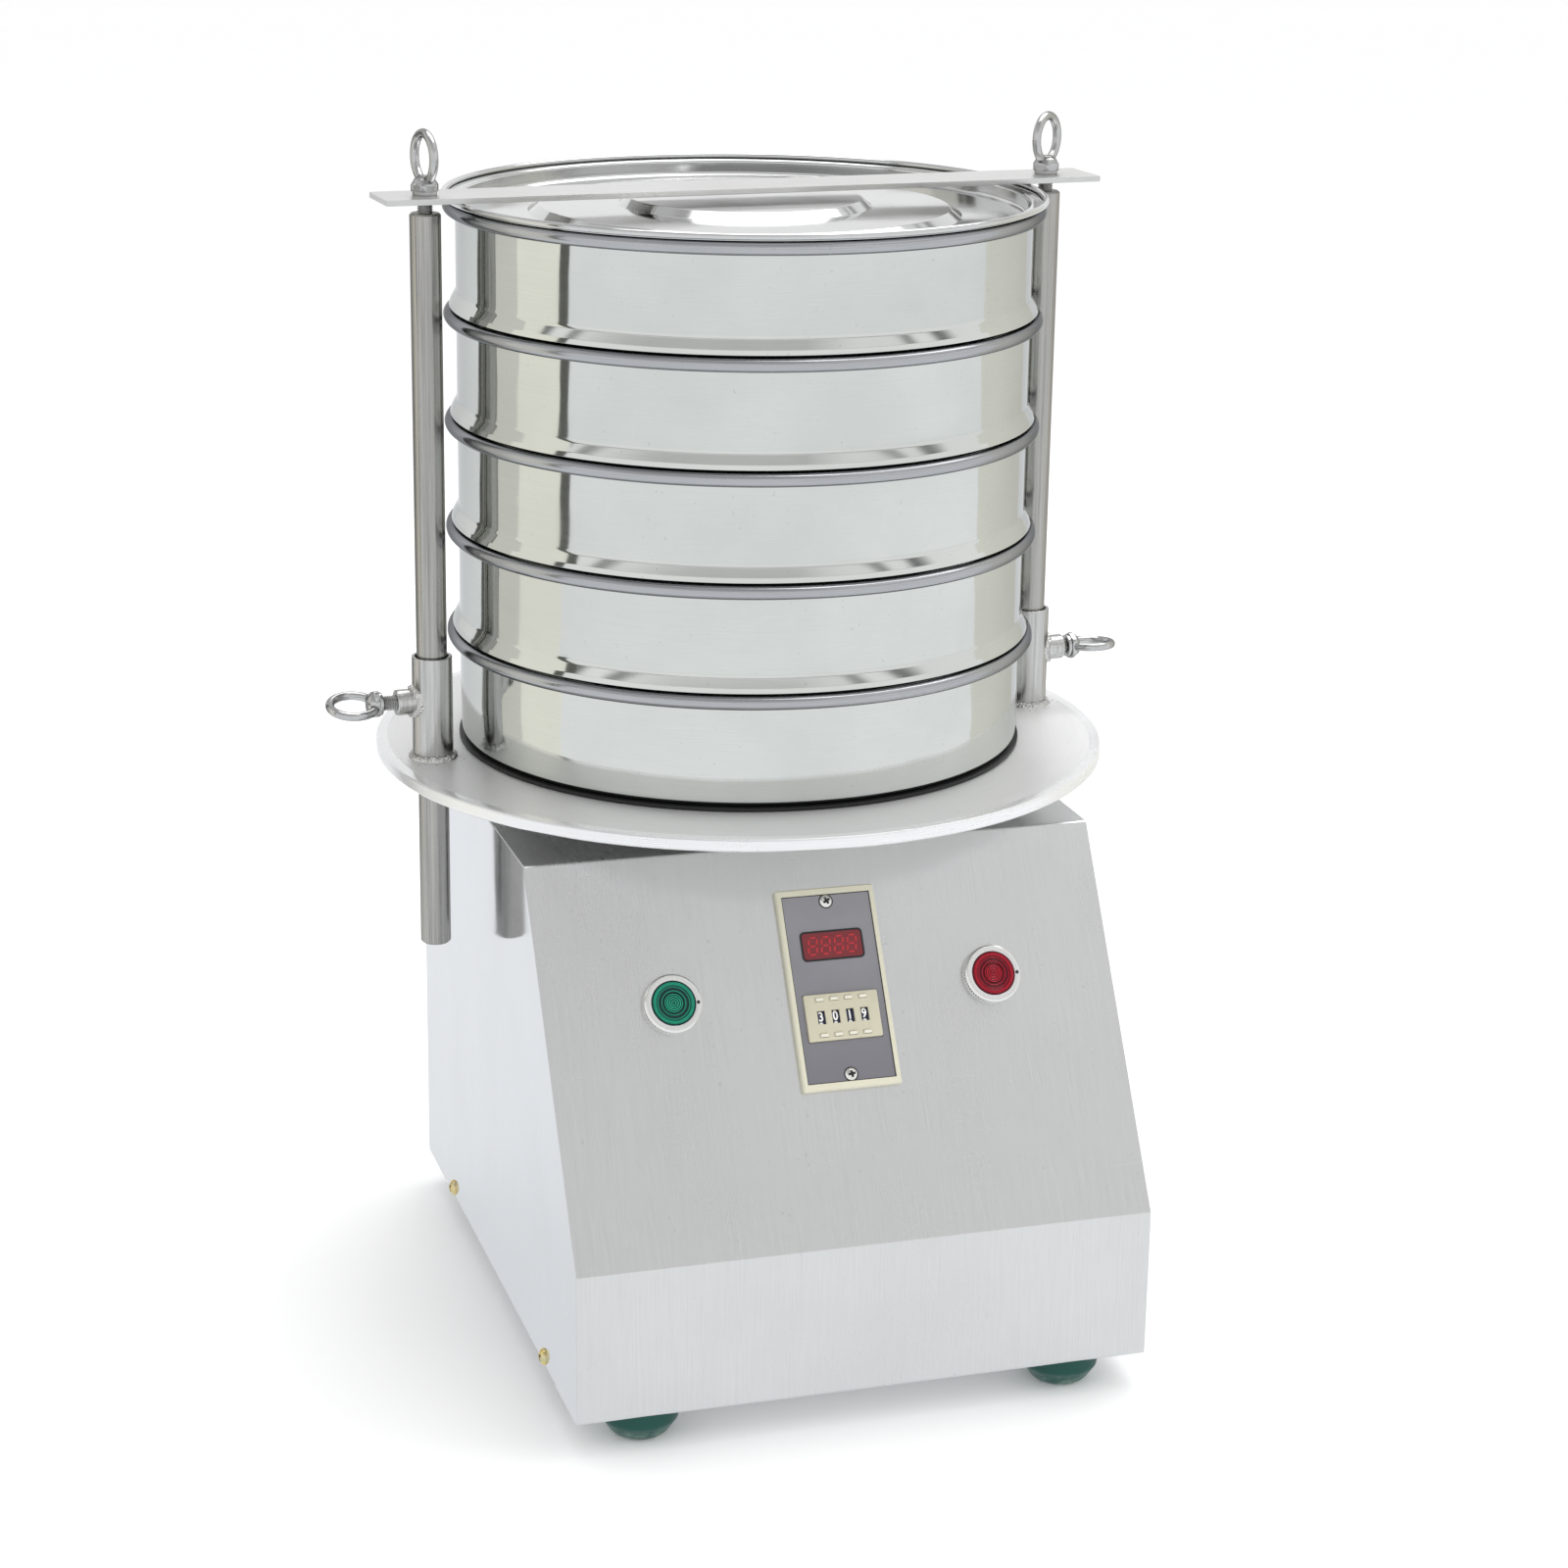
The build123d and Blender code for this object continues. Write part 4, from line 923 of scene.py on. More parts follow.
# Vibrating plate, rods and clamp parts


def clamp_place(side):
    """Place of one rod's axis on the floor, with +X outwards from the plate."""
    around = clamp_turn + (math.pi if side < 0 else 0.0)
    return at(axis_x, axis_y, 0) @ Matrix.Rotation(around, 4, "Z") @ at(rod_distance, 0, 0)


def half_face(side, level, reach, up):
    """Half of the plate's face, in rings that spread from its rod hole to its edge."""
    count = 96
    rows = 7
    centre = clamp_place(side).translation
    hub = math.atan2(centre.y - axis_y, centre.x - axis_x)
    half = []
    for i in range(count + 1):
        a = hub - math.pi / 2 + math.pi * i / count
        half.append((axis_x + reach * math.cos(a), axis_y + reach * math.sin(a)))
    first, last = Vector(half[count]), Vector(half[0])
    half += [tuple(first.lerp(last, i / count)) for i in range(1, count)]
    hole = []
    for x, y in half:
        a = math.atan2(y - centre.y, x - centre.x)
        hole.append((centre.x + rod_hole * math.cos(a), centre.y + rod_hole * math.sin(a)))
    points = []
    for row in range(rows + 1):
        share = (row / rows) ** 1.6
        points += [(*Vector(c).lerp(Vector(h), share), level) for c, h in zip(hole, half)]
    return points, row_faces(rows + 1, len(half), flip=up)


def make_plate():
    """The turned plate: its rim, and its faces with the two rod holes let in."""
    edge = 0.8
    inner = plate_radius - 6
    rim = (
        (inner, plate_bottom),
        (plate_radius - edge, plate_bottom),
        (plate_radius, plate_bottom + edge),
        (plate_radius, plate_top - edge),
        (plate_radius - edge, plate_top),
        (inner, plate_top),
    )
    rim = lathe(rounded([(*corner, 0.15) for corner in rim], 3), 320)
    piece("plate_rim", on_axis(rim), "platform", steel_rim, 35, ("vibrating_plate",))
    faces = []
    for level, up in ((plate_top, True), (plate_bottom, False)):
        for side in (-1, 1):
            faces.append(half_face(side, level, inner, up))
    for side in (-1, 1):
        wall = lathe([(rod_hole, plate_bottom), (rod_hole, plate_top)], 48)
        faces.append(moved(wall, clamp_place(side)))
    piece("plate_faces", joined(*faces), "platform", steel_plate, 35)


def weld_ring(inner, leg_out, leg_up, seat, seed, ripples):
    """A fillet weld round a pipe: overlapping scales, uneven in width.

    seat(angle, radius) is the level it runs on.
    """
    steps = 14
    profile = [(inner + leg_out * k / steps, 1 - (k / steps) ** 1.7) for k in range(steps + 1)]

    def scaled(angle, index, radius, share_up):
        share = math.sin(math.pi * index / steps)
        wide = 1 + 0.25 * ring_noise(angle, 2.2, seed) + 0.18 * ring_noise(angle, 7.0, seed + 4)
        phase = angle * ripples / (2 * math.pi) + 0.6 * share + 1.3 * ring_noise(angle, 3.0, seed + 9)
        lump = 0.6 * abs(math.sin(math.pi * phase)) ** 0.5 * share
        lump += 0.8 * share * ring_noise(angle, 9, index * 0.5 + seed)
        r = inner + (radius - inner) * wide + lump * 0.7
        return r, seat(angle, r) - 0.05 + leg_up * share_up * wide + lump

    return lathe(profile, 420, False, scaled)


def splatter(centre, reach, count, level, seed):
    """Small beads of weld metal stuck round a weld."""
    rng = random.Random(seed)
    drops = []
    for drop in range(count):
        angle = rng.uniform(0, 2 * math.pi)
        distance = reach * (0.55 + 0.75 * rng.random() ** 1.5)
        size = rng.uniform(0.18, 0.5)
        bead = [(x, z * 0.7) for x, z in arc((0, 0), size, 0, 60, 2)] + [(0.0, size * 0.7)]
        x = centre[0] + distance * math.cos(angle)
        y = centre[1] + distance * math.sin(angle)
        drops.append(moved(lathe(bead, 10), at(x, y, level)))
    return joined(*drops)


def make_sleeve(side, name):
    """A pipe sleeve with its side boss, both welded."""
    place = clamp_place(side)
    top = plate_top + sleeve_height
    pipe = [
        (rod_hole, plate_top + 0.02, 0),
        (sleeve_radius, plate_top + 0.02, 0),
        (sleeve_radius, top, 0.5),
        (rod_hole + 0.85, top, 0.3),
        (rod_hole + 0.8, top - 3.5, 0),
        (rod_hole, top - 4.2, 0),
    ]
    sleeve = moved(lathe(rounded(pipe, 4, True), 96, True), place)
    piece(name + "_sleeve", sleeve, "platform", steel_tube, 35, ("clamp_sleeves",))
    boss = [
        (stud_hole, boss_foot, 0),
        (boss_radius, boss_foot, 0),
        (boss_radius, boss_reach, 0.7),
        (stud_hole, boss_reach, 0.5),
    ]
    lay = place @ at(0, 0, plate_top + boss_rise) @ turn(90, "Y")
    boss = moved(lathe(rounded(boss, 4, True), 64, True), lay)
    piece(name + "_boss", boss, "platform", steel_tube, 35)

    def on_pipe(angle, radius):
        """Distance from the sleeve's axis at which the boss's weld lies."""
        return math.sqrt(sleeve_radius ** 2 - min(9.6, abs(radius * math.sin(angle))) ** 2)

    foot = weld_ring(sleeve_radius - 0.1, 2.4, 2.3, lambda angle, radius: plate_top, 3.0 + side, 26)
    foot = moved(foot, place)
    collar = moved(weld_ring(boss_radius - 0.1, 2.0, 2.0, on_pipe, 8.0 + side, 17), lay)
    drops = splatter(place.translation, sleeve_radius + 4.5, 70, plate_top, 20 + side)
    piece(name + "_welds", joined(foot, collar, drops), "platform", steel_weld, 70)


def make_rod(side, name):
    """A drawn rod with a chamfer at both ends and a threaded stud."""
    body = name + "_clamp_rod"
    place = clamp_place(side)
    bar = (
        (0, rod_bottom),
        (rod_radius - 1.0, rod_bottom),
        (rod_radius, rod_bottom + 1.0),
        (rod_radius, rod_shoulder - 1.0),
        (rod_radius - 1.0, rod_shoulder),
        (stud_radius * 0.8, rod_shoulder),
    )
    bar = lathe(rounded([(*corner, 0.25) for corner in bar], 3), 96)
    piece(name + "_rod_bar", moved(bar, place), body, steel_rod, 35, (body,))
    stud = threaded(rod_shoulder - 0.5, stud_top)
    piece(name + "_rod_stud", moved(stud, place), body, steel_thread, 55)


def eye_shape(collar_height, ring_height):
    """A forged eye on its faceted collar and washer, standing on Z."""
    ring = hoop([(x, 0.0, ring_height + z) for x, z in circle_outline(eye_ring, 96)], eye_wire, 24)

    def faceted(angle, index, radius, z):
        """Six flats with rounded corners on the collar's middle part."""
        if index < 4 or radius < 4.2:
            return radius, z
        flat = 6.75 / math.cos((angle + math.pi / 6) % (math.pi / 3) - math.pi / 6)
        return min(radius, flat), z

    collar = [
        (stud_hole, 0, 0),
        (6.1, 0, 0.3),
        (6.25, 2.0, 0.3),
        (5.7, 2.0, 0.1),
        (7.15, 2.2, 0.4),
        (7.45, collar_height * 0.62, 0.8),
        (5.2, collar_height, 0.8),
        (3.6, collar_height + 0.9, 0.3),
        (0.0, collar_height + 1.0, 0),
    ]
    return joined(ring, lathe(rounded(collar, 4), 96, False, faceted))


def make_eye_nut(side, name, around):
    """The eye nut that presses the bar down."""
    body = name + "_eye_nut"
    place = clamp_place(side) @ at(0, 0, bar_top) @ turn(90 + around, "Z")
    eye = moved(eye_shape(8.0, 18.6), place)
    piece(name + "_nut_eye", eye, body, chrome, 40, (body,))


def make_eye_bolt(side, name, standout, roll):
    """The eye bolt that locks the rod, with its thread showing behind the collar."""
    body = name + "_eye_bolt"
    place = clamp_place(side) @ at(standout, 0, plate_top + boss_rise)
    place = place @ turn(90 + roll * side, "X") @ turn(90, "Y")
    eye = moved(eye_shape(7.0, 15.3), place)
    piece(name + "_bolt_eye", eye, body, chrome, 40, (body,))
    shank = moved(threaded(8.3 - standout, 0.1), place)
    piece(name + "_bolt_shank", shank, body, steel_thread, 55)


def softened(node, edge, material):
    """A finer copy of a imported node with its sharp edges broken, which stands for the node."""
    flat = math.radians(0.8)
    corner = math.radians(30)
    shape = bmesh.new()
    shape.from_mesh(nodes[node].data)
    bmesh.ops.remove_doubles(shape, verts=shape.verts, dist=2e-6)
    bmesh.ops.dissolve_limit(shape, angle_limit=flat, verts=shape.verts, edges=shape.edges)
    sharp = [e for e in shape.edges if len(e.link_faces) == 2 and e.calc_face_angle(0) > corner]
    bevel = {"segments": 2, "affect": "EDGES", "clamp_overlap": True, "profile": 0.5}
    bmesh.ops.bevel(shape, geom=sharp, offset=edge * MM, **bevel)
    mesh = bpy.data.meshes.new(node + "_dressed")
    shape.to_mesh(mesh)
    shape.free()
    mesh.materials.append(material)
    mesh.shade_smooth()
    mesh.set_sharp_from_angle(angle=math.radians(32))
    obj = bpy.data.objects.new(node + "_dressed", mesh)
    scene.collection.objects.link(obj)
    normals = obj.modifiers.new("flat_faces", "WEIGHTED_NORMAL")
    normals.keep_sharp = True
    normals.weight = 100
    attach(obj, nodes[node]["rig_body"])
    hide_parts(node)


make_plate()
# Side, name, how far the eye bolt stands out, its roll, and how far the eye nut is turned
for side, name, standout, roll, around in (
    (-1, "left", 27.4, 12.0, 8.8),
    (1, "right", 22.6, -5.0, -51.6),
):
    make_sleeve(side, name)
    make_rod(side, name)
    make_eye_nut(side, name, around)
    make_eye_bolt(side, name, standout, roll)
softened("crossbar", 0.3, steel_bar)
softened("pan_mat", 0.4, black_rubber)


# Housing


def panel_place(x, down):
    """A place on the sloping panel, with +Z out of it.

    x is measured across from the plate's axis, and down from the panel's top edge.
    """
    point = Vector((axis_x + x, top_front, housing_top)) - panel_up * down
    basis = Matrix((Vector((1, 0, 0)), panel_up, panel_normal)).transposed().to_4x4()
    return Matrix.Translation(point) @ basis


def make_foot(x, y):
    """A moulded foot: domed side, sole ring, recess for the bolt and a faint parting line."""
    profile = [
        (6.5, 8.0, 0),
        (6.5, 0.0, 0.6),
        (13.5, 0.0, 7.2),
        (20.0, 9.9, 5.4),
        (20.0, housing_bottom, 1.0),
        (3.0, housing_bottom, 0),
    ]

    def worn(angle, index, radius, z):
        lump = 0.1 * ring_noise(angle + x, 2.5, z * 0.12 + y)
        line = 0.12 * math.exp(-(((z - 9.2) / 0.35) ** 2))
        return radius + (lump + line if radius > 12 and z < 17.5 else 0), z

    return moved(lathe(rounded(profile, 12), 128, False, worn), at(x, y, 0))


def make_side_screws():
    """Cross-recess pan heads, each one turned differently."""
    rng = random.Random(11)
    heads = []
    shades = []
    for side, x in ((-1, housing_left), (1, housing_right)):
        for y in (housing_front + 70.0, housing_back - 70.0):
            lay = at(x, y, housing_bottom + 5.0) @ turn(90 * side, "Y")
            lay = lay @ turn(rng.uniform(0, 90), "Z")
            heads.append(moved(recessed_head(4.5, 2.55, 1.7, 2.5, 48), lay))
            shades.append(moved(cross_shade(2.3, 0.72, 1.75), lay))
    heads = joined(*heads)
    piece("side_screw_heads", heads, "base", yellow_zinc, 40, ("side_screws",))
    # The black crosses in the recesses are painted shade.
    piece("side_screw_recess_shade", joined(*shades), "base", black_print, 0)


feet = [make_foot(x, y) for x in (-110.605, 115.395) for y in (-195.45, 118.45)]
piece("feet_moulded", joined(*feet), "base", green_rubber, 45, ("rubber_feet",))
make_side_screws()
softened("front_cover", 0.25, steel_slope)
softened("left_side_panel", 0.2, steel_side)
softened("right_side_panel", 0.2, steel_side)
softened("back_panel", 0.25, steel_slope)


# Timer and buttons. Levels are measured out of the sloping panel.

ring_inner = 11.4
ring_outer = 15.0
ring_height = 5.0
knurls = 60
lens_face = 5.4
lens_edge = 11.3
face_out = 3.0
display_rise = 22.0
display_pitch = 6.9
screw_rise = 44.8
wheel_radius = 8.8
wheel_pitch = 7.65
wheel_drop = 15.0
block_front = 4.4
block_back = -17.0
wheel_centre = block_front - 1.3 - wheel_radius
tab_rise = 9.2
figure_size = 6.8
figure_squeeze = 0.78
figure_raise = 0.04
shown_figures = (3, 0, 1, 9)

# The seven bars of a display digit, each from one end to the other in shares of its size
display_bars = (
    ((0.12, 1.0), (0.88, 1.0)),
    ((1.0, 0.92), (1.0, 0.56)),
    ((1.0, 0.44), (1.0, 0.08)),
    ((0.12, 0.0), (0.88, 0.0)),
    ((0.0, 0.44), (0.0, 0.08)),
    ((0.0, 0.92), (0.0, 0.56)),
    ((0.12, 0.5), (0.88, 0.5)),
)


def make_button_ring(place, name, stands_for):
    """A button's ring, with its knurled edge, the shade in the knurls and its mark."""
    ring = [
        (ring_inner, 0.0, 0),
        (ring_outer, 0.0, 0.3),
        (ring_outer, 4.1, 0.45),
        (14.1, ring_height, 0.5),
        (ring_inner, ring_height, 0.35),
        (ring_inner, 0.4, 0),
    ]

    def knurled(angle, index, radius, z):
        if radius > 14.6 and 0.3 < z < 3.9:
            return radius - 0.8 * (0.5 - 0.5 * math.cos(knurls * angle)) ** 2, z
        return radius, z

    ring = lathe(divided(rounded(ring, 5), 6, 1.5, 14), knurls * 8, False, knurled)
    piece(name + "_ring", moved(ring, place), "base", ring_bright, 40, stands_for)
    shadow = lathe([(14.5, 0.4), (14.5, 3.8)], 96)
    piece(name + "_ring_shade", moved(shadow, place), "base", black_print, 40)
    pin = lathe([(0.95, -0.1), (0.95, 0.06), (0.0, 0.08)], 16)
    pin = moved(pin, place @ at(12.7, -0.6, ring_height))
    piece(name + "_ring_pin", pin, "base", dark_plastic, 40)


def make_lens(place, name, material):
    """A button's lens with its pressed rings: fine ones in the middle, broad ones round them."""
    profile = [(9.3, lens_face - 2.6), (lens_edge, lens_face - 2.6), (lens_edge, lens_face - 0.7)]
    profile += arc((10.75, lens_face - 0.75), 0.55, 0, 90, 6)
    steps = 110
    for k in range(steps + 1):
        r = 10.7 * (1 - k / steps)
        if r > 9.1:
            rise = 0.0
        elif r > 5.3:
            rise = -0.27 + 0.13 * math.cos((9.1 - r) * 2 * math.pi / 1.27)
        elif r > 4.7:
            rise = -0.85
        else:
            rise = -0.27 + 0.12 * math.cos(r * 2 * math.pi / 1.15)
        profile.append((r if k < steps else 0.0, lens_face + rise))
    body = name + "_button"
    piece(name + "_lens", moved(lathe(profile), place), body, material, 50, (body,))


def display_digit(width, height, thick, slant):
    """A seven-bar digit with all its bars, about its centre."""
    bars = []
    for first, last in display_bars:
        start, end = (Vector(((x - 0.5) * width, (y - 0.5) * height)) for x, y in (first, last))
        along = (end - start).normalized()
        side = Vector((-along.y, along.x)) * thick / 2
        tip = along * thick / 2
        lower = [start, start + tip - side, end - tip - side]
        upper = [end, end - tip + side, start + tip + side]
        bars.append(slab([(p.x + p.y * slant, p.y) for p in lower + upper], 0.0, 0.06))
    return joined(*bars)


def figure_shape(text, name):
    """A plain figure as a thin slab about its centre, cut into narrow rows so that it can bend."""
    curve = bpy.data.curves.new(name + "_outline", "FONT")
    curve.body = text
    curve.size = figure_size
    curve.align_x = "CENTER"
    curve.align_y = "CENTER"
    curve.extrude = figure_raise / 2
    curve.resolution_u = 6
    curve.offset = figure_size * 0.025
    source = bpy.data.objects.new(name + "_outline", curve)
    mesh = bpy.data.meshes.new_from_object(source)
    shape = bmesh.new()
    shape.from_mesh(mesh)
    for row in range(-9, 10):
        every = shape.verts[:] + shape.edges[:] + shape.faces[:]
        cut = (0, row * figure_size / 20, 0)
        bmesh.ops.bisect_plane(shape, geom=every, plane_co=cut, plane_no=(0, 1, 0))
    shape.verts.index_update()
    points = [(v.co.x * figure_squeeze, v.co.y, v.co.z) for v in shape.verts]
    faces = [tuple(v.index for v in f.verts) for f in shape.faces]
    shape.free()
    bpy.data.objects.remove(source)
    bpy.data.curves.remove(curve)
    bpy.data.meshes.remove(mesh)
    return points, faces


def carved(*shapes):
    """The first closed shape with the others taken out of it, one after another."""
    made = []
    for number, (points, faces) in enumerate(shapes):
        mesh = bpy.data.meshes.new(f"cut_{number}")
        mesh.from_pydata(points, [], faces)
        made.append(bpy.data.objects.new(f"cut_{number}", mesh))
        scene.collection.objects.link(made[-1])
    for cutter in made[1:]:
        cut = made[0].modifiers.new(cutter.name, "BOOLEAN")
        cut.operation = "DIFFERENCE"
        cut.solver = "EXACT"
        cut.object = cutter
    bpy.context.view_layer.update()
    evaluated = made[0].evaluated_get(bpy.context.evaluated_depsgraph_get())
    result = bpy.data.meshes.new_from_object(evaluated)
    points = [tuple(v.co) for v in result.vertices]
    faces = [tuple(p.vertices) for p in result.polygons]
    for mesh in (result, *(obj.data for obj in made)):
        bpy.data.meshes.remove(mesh)
    return points, faces


def make_wheel_block(middle):
    """The thumbwheel block, with four open windows over its wheels and a slot for each tab."""
    pockets = []
    openings = []
    for index in range(4):
        column = at((index - 1.5) * wheel_pitch, 0, 0)
        pocket = slab(circle_outline(wheel_radius + 0.3, 96), -2.5, 2.5)
        pockets.append(moved(pocket, column @ at(0, 0, wheel_centre) @ turn(90, "Y")))
        openings.append(moved(slab(box_outline(4.2, 7.0, 0.25, 3), 1.9, block_front + 1), column))
        slot = slab(box_outline(4.4, 2.1, 0.15, 3), block_front - 4.8, block_front + 1)
        openings += [moved(slot, column @ at(0, rise, 0)) for rise in (-tab_rise, tab_rise)]
    outer = slab(box_outline(39.0, 24.0, 0.8, 4), block_back, block_front, 0.5, 0.0)
    block = carved(outer, joined(*pockets), joined(*openings))
    block = moved(block, middle @ at(0, -wheel_drop, 0))
    piece("thumbwheel_front", block, "base", cream_painted_shade, 25, ("thumbwheel_block",))


def make_wheel_figures(index, column):
    """Ten white figures round a digit wheel, with the shown one in the window."""
    centre = column @ at(0, 0, wheel_centre)
    shapes = []
    for step in range(10):
        figure = str((shown_figures[index] + step) % 10)
        points, faces = figure_shape(figure, f"wheel_{index + 1}_figure_{figure}")
        bent = []
        for x, y, z in points:
            a = y / wheel_radius
            bent.append((x, (wheel_radius + z) * math.sin(a), (wheel_radius + z) * math.cos(a)))
        shapes.append(moved((bent, faces), centre @ turn(-36 * step - 3.0, "X")))
    name = f"wheel_{index + 1}_figures"
    piece(name, joined(*shapes), f"digit_wheel_{index + 1}", white_print_painted_glow, 30)


def make_timer():
    """Bezel, face, display with its bars, screws, and the thumbwheel block with its wheels."""
    softened("timer_bezel", 0.18, cream)
    softened("timer_face", 0.1, grey_face)
    softened("display_window", 0.12, display_red)
    middle = panel_place(2.0, 76.4)
    make_wheel_block(middle)
    line = washer_slab(box_outline(46.9, 96.7, 0.2, 2), box_outline(46.1, 95.9, 0.1, 2), 0.0, 0.03)
    line = moved(line, middle @ at(0, 0, face_out))
    piece("face_edge_line", line, "base", black_print, 30)
    outer = box_outline(33.2, 15.5, 2.4, 8)
    inner = box_outline(31.2, 13.5, 1.6, 8)
    border = washer_slab(outer, inner, 0.0, 0.34, 0.08)
    border = moved(border, middle @ at(0, display_rise, face_out))
    piece("display_border", border, "base", black_print, 30)
    for label, rise, turned, stands_for in (
        ("lower", -screw_rise, 8, ()),
        ("upper", screw_rise, 27, ("timer_screws",)),
    ):
        lay = middle @ at(0, rise, face_out) @ turn(turned, "Z")
        head = moved(recessed_head(3.25, 1.65, 1.1, 1.9, 40), lay)
        piece(label + "_timer_screw", head, "base", nickel, 40, stands_for)
        shadow = lathe([(3.2, 0.02), (3.75, 0.04), (3.8, 0.0)], 48)
        shadow = moved(joined(shadow, cross_shade(1.75, 0.52, 1.12)), lay)
        piece(label + "_screw_shade", shadow, "base", black_print, 30)
    for index in range(4):
        place = middle @ at((index - 1.5) * display_pitch, display_rise, face_out + 0.3)
        digit = moved(display_digit(4.3, 8.6, 0.95, 0.12), place)
        piece(f"display_digit_{index + 1}", digit, "base", segment_red, 30)
        softened(f"digit_wheel_{index + 1}", 0.1, navy)
        for kind in ("plus", "minus"):
            softened(f"{kind}_tab_{index + 1}", 0.15, cream_painted_highlight)
        make_wheel_figures(index, middle @ at((index - 1.5) * wheel_pitch, -wheel_drop, 0))


for x, name, material, slot_name, stands_for in (
    (-button_reach, "start", lens_green, "lens_green", ("button_rings",)),
    (button_reach, "stop", lens_red, "lens_red", ()),
):
    make_button_ring(panel_place(x, button_drop), name, stands_for)
    make_lens(panel_place(x, button_drop), name, material)
make_timer()


# Parts at the back and underneath


def make_gland():
    """The cable gland with its gripping cap and lock nut."""
    bore = 4.0
    place = at(axis_x + 95.0, housing_back, housing_bottom + 42.0) @ turn(-90, "X")

    def ribbed(angle, index, radius, z):
        if radius > 8.0 and 5.4 < z < 9.6:
            return radius - 0.28 * (0.5 - 0.5 * math.cos(18 * angle)) ** 2, z
        return radius, z

    cap = [
        (bore, -7.0, 0),
        (7.6, -7.0, 0.3),
        (7.6, 4.9, 0),
        (8.2, 4.9, 0.3),
        (8.2, 9.8, 4.0),
        (5.5, 14.0, 0.4),
        (bore, 14.0, 0),
    ]
    cap = lathe(divided(rounded(cap, 8), 8, 2) + [(bore, -7.0)], 144, False, ribbed)
    nut = slab(circle_outline(9.5 / math.cos(math.pi / 6), 6), 0.0, 4.9, 0.4)
    gland = moved(joined(cap, nut), place)
    piece("gland_body", gland, "base", nylon, 35, ("cable_gland",))


make_gland()
plain = {
    inner_steel: ("bottom_plate", "motor_shelf", "motor_carrier"),
    plain_zinc: ("foot_fasteners", "buffer_fasteners", "carrier_fasteners"),
    black_rubber: ("rubber_buffers",),
    motor_paint: ("motor_housing",),
    ground_steel: ("motor_bearings", "rotor_shaft"),
    cast_iron: ("eccentric_weights",),
    dark_plastic: ("timer_housing", "button_bodies"),
}
for material, names in plain.items():
    for node in names:
        nodes[node].data.materials.clear()
        nodes[node].data.materials.append(material)


# Camera, floor and light


def make_camera():
    data = bpy.data.cameras.new("camera")
    data.lens = 80.417
    data.sensor_width = 36.0
    data.clip_start = 0.05
    data.clip_end = 60.0
    camera = bpy.data.objects.new("camera", data)
    right = Vector((0.955664, -0.294077, 0.014996))
    up = Vector((0.073099, 0.286265, 0.955358))
    ahead = Vector((0.285242, 0.911905, -0.295070))
    view = Matrix((right, up, -ahead)).transposed().to_4x4()
    camera.matrix_world = Matrix.Translation((-0.52054, -1.73325, 0.83230)) @ view
    scene.collection.objects.link(camera)
    scene.camera = camera


def stage_plane(name, corners, material):
    mesh = bpy.data.meshes.new(name)
    mesh.from_pydata(corners, [], [(0, 1, 2, 3)])
    mesh.materials.append(material)
    obj = bpy.data.objects.new(name, mesh)
    scene.collection.objects.link(obj)
    return obj


def make_floor():
    """A pale floor that stays white away from the object and keeps its shadow."""
    material, tree = bare_material("studio_floor")
    surface = add(tree, "BsdfPrincipled", {
        "Base Color": (0.93, 0.93, 0.935),
        "Roughness": 0.6,
        "Specular IOR Level": 0.2,
        "Emission Color": (1.0, 1.0, 1.0),
        "Emission Strength": 0.09,
    })
    mirrored = add(tree, "Emission", {"Color": (0.86, 0.885, 0.91)})
    glossy = maths(tree, "MULTIPLY", add(tree, "LightPath").outputs["Is Glossy Ray"], 0.75)
    both = add(tree, "MixShader", {0: glossy, 1: surface.outputs[0], 2: mirrored.outputs[0]})
    add(tree, "OutputMaterial", {"Surface": both.outputs[0]})
    r = 14.0
    stage_plane("floor", [(-r, -r, 0), (r, -r, 0), (r, r, 0), (-r, r, 0)], material)


def mirrored_point(share, distance):
    """Floor point that shows on the vessel wall at a share of its half width, left negative."""
    view = math.radians(-17.37)
    lean = math.asin(share)
    normal = view + lean
    ray = view + 2 * lean
    x = axis_x * MM + wall_outer * MM * math.sin(normal) + distance * math.sin(ray)
    y = axis_y * MM - wall_outer * MM * math.cos(normal) - distance * math.cos(ray)
    return x, y


def make_card(name, first, last, distance, tone, low=0.0):
    """An upright card that only shows mirrored in the vessels, rods and rims."""
    material, tree = bare_material(name + "_tone")
    light = add(tree, "Emission", {"Color": tone})
    add(tree, "OutputMaterial", {"Surface": light.outputs[0]})
    start = mirrored_point(first, distance)
    end = mirrored_point(last, distance)
    card = stage_plane(name, [(*start, low), (*end, low), (*end, 0.95), (*start, 0.95)], material)
    card.visible_camera = False
    card.visible_diffuse = False
    card.visible_shadow = False
    card.visible_transmission = False


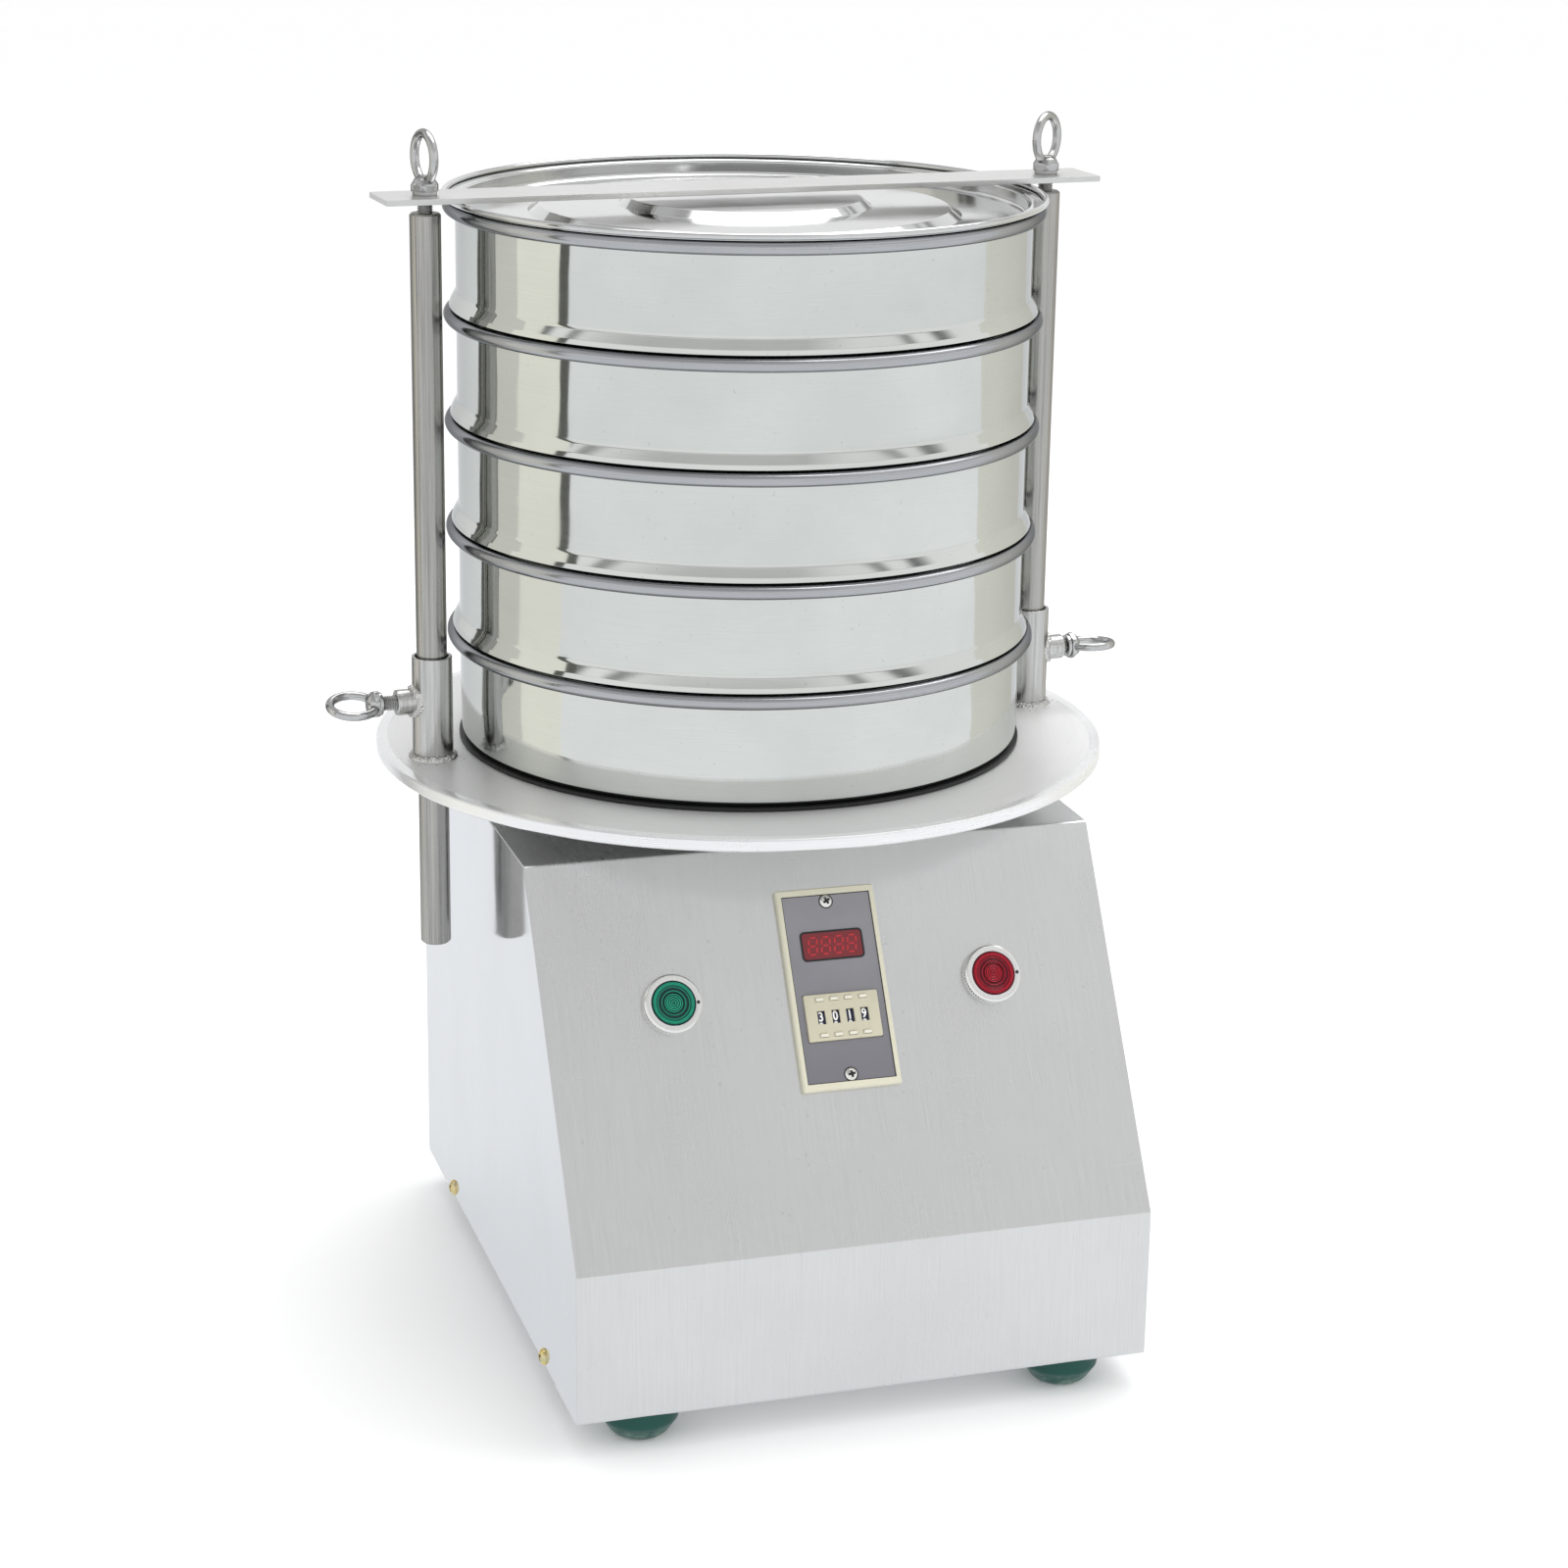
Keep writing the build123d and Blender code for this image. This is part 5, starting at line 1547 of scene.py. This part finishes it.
def make_world():
    """White to the camera. Mirrors see a studio that is darker overhead and in front."""
    world = bpy.data.worlds.new("studio")
    scene.world = world
    world.use_nodes = True
    tree = world.node_tree
    tree.nodes.clear()
    way = parts_of(tree, add(tree, "TexCoord").outputs["Generated"])
    ramp = add(tree, "ValToRGB", {"Fac": maths(tree, "MAXIMUM", way["Z"], 0.0)})
    tones = ((0.45, 0.96), (0.485, 0.22), (0.5, 0.22), (0.515, 0.97), (0.545, 0.97), (0.555, 0.35),
             (0.565, 0.35), (0.58, 0.9), (0.64, 0.78), (0.8, 0.78), (0.9, 0.5))
    elements = ramp.color_ramp.elements
    elements[0].color = (0.96, 0.96, 0.97, 1)
    elements[1].color = (0.95, 0.95, 0.95, 1)
    for position, tone in tones:
        elements.new(position).color = (tone, tone, tone * 1.01, 1)
    brighter_right = spread(tree, way["X"], 0.15, 0.45, 0.78, 1.2)
    level = between(tree, spread(tree, way["Z"], 0.58, 0.66), 1.0, brighter_right)
    room = add(tree, "Background", {"Color": ramp.outputs["Color"], "Strength": level})
    white = add(tree, "Background", {"Color": (1.0, 1.0, 1.0)})
    seen = add(tree, "LightPath").outputs
    plain_white = maths(tree, "MAXIMUM", seen["Is Camera Ray"], seen["Is Diffuse Ray"])
    both = add(tree, "MixShader", {0: plain_white, 1: room.outputs[0], 2: white.outputs[0]})
    add(tree, "OutputWorld", {"Surface": both.outputs[0]})


def make_light(name, place, size, power):
    """A soft light that aims at the middle of the object."""
    data = bpy.data.lights.new(name, "AREA")
    data.shape = "RECTANGLE"
    data.size, data.size_y = size
    data.energy = power
    light = bpy.data.objects.new(name, data)
    light.location = place
    light.rotation_mode = "QUATERNION"
    light.rotation_quaternion = (Vector((0.0, 0.0, 0.3)) - Vector(place)).to_track_quat("-Z", "Y")
    scene.collection.objects.link(light)
    return light


make_camera()
make_floor()
make_world()
make_light("overhead", (0.5, 0.5, 2.3), (1.9, 1.9), 26.0)
make_light("right_fill", (2.2, -1.2, 1.4), (1.2, 1.8), 10.0).visible_glossy = False
make_card("edge_card", -0.907, -0.853, 0.75, (0.12, 0.12, 0.11))
make_card("edge_card_pale", -0.877, -0.868, 0.74, (0.4, 0.4, 0.38))
make_card("grey_card", -0.853, -0.762, 0.75, (0.74, 0.73, 0.68))
make_card("cream_card", -0.762, -0.617, 0.75, (0.98, 0.96, 0.88))
make_card("dark_card", -0.617, -0.584, 0.75, (0.13, 0.13, 0.12), 0.2)
make_card("right_grey_card", 0.822, 0.972, 0.7, (0.84, 0.83, 0.77))
scene.view_settings.view_transform = "Standard"
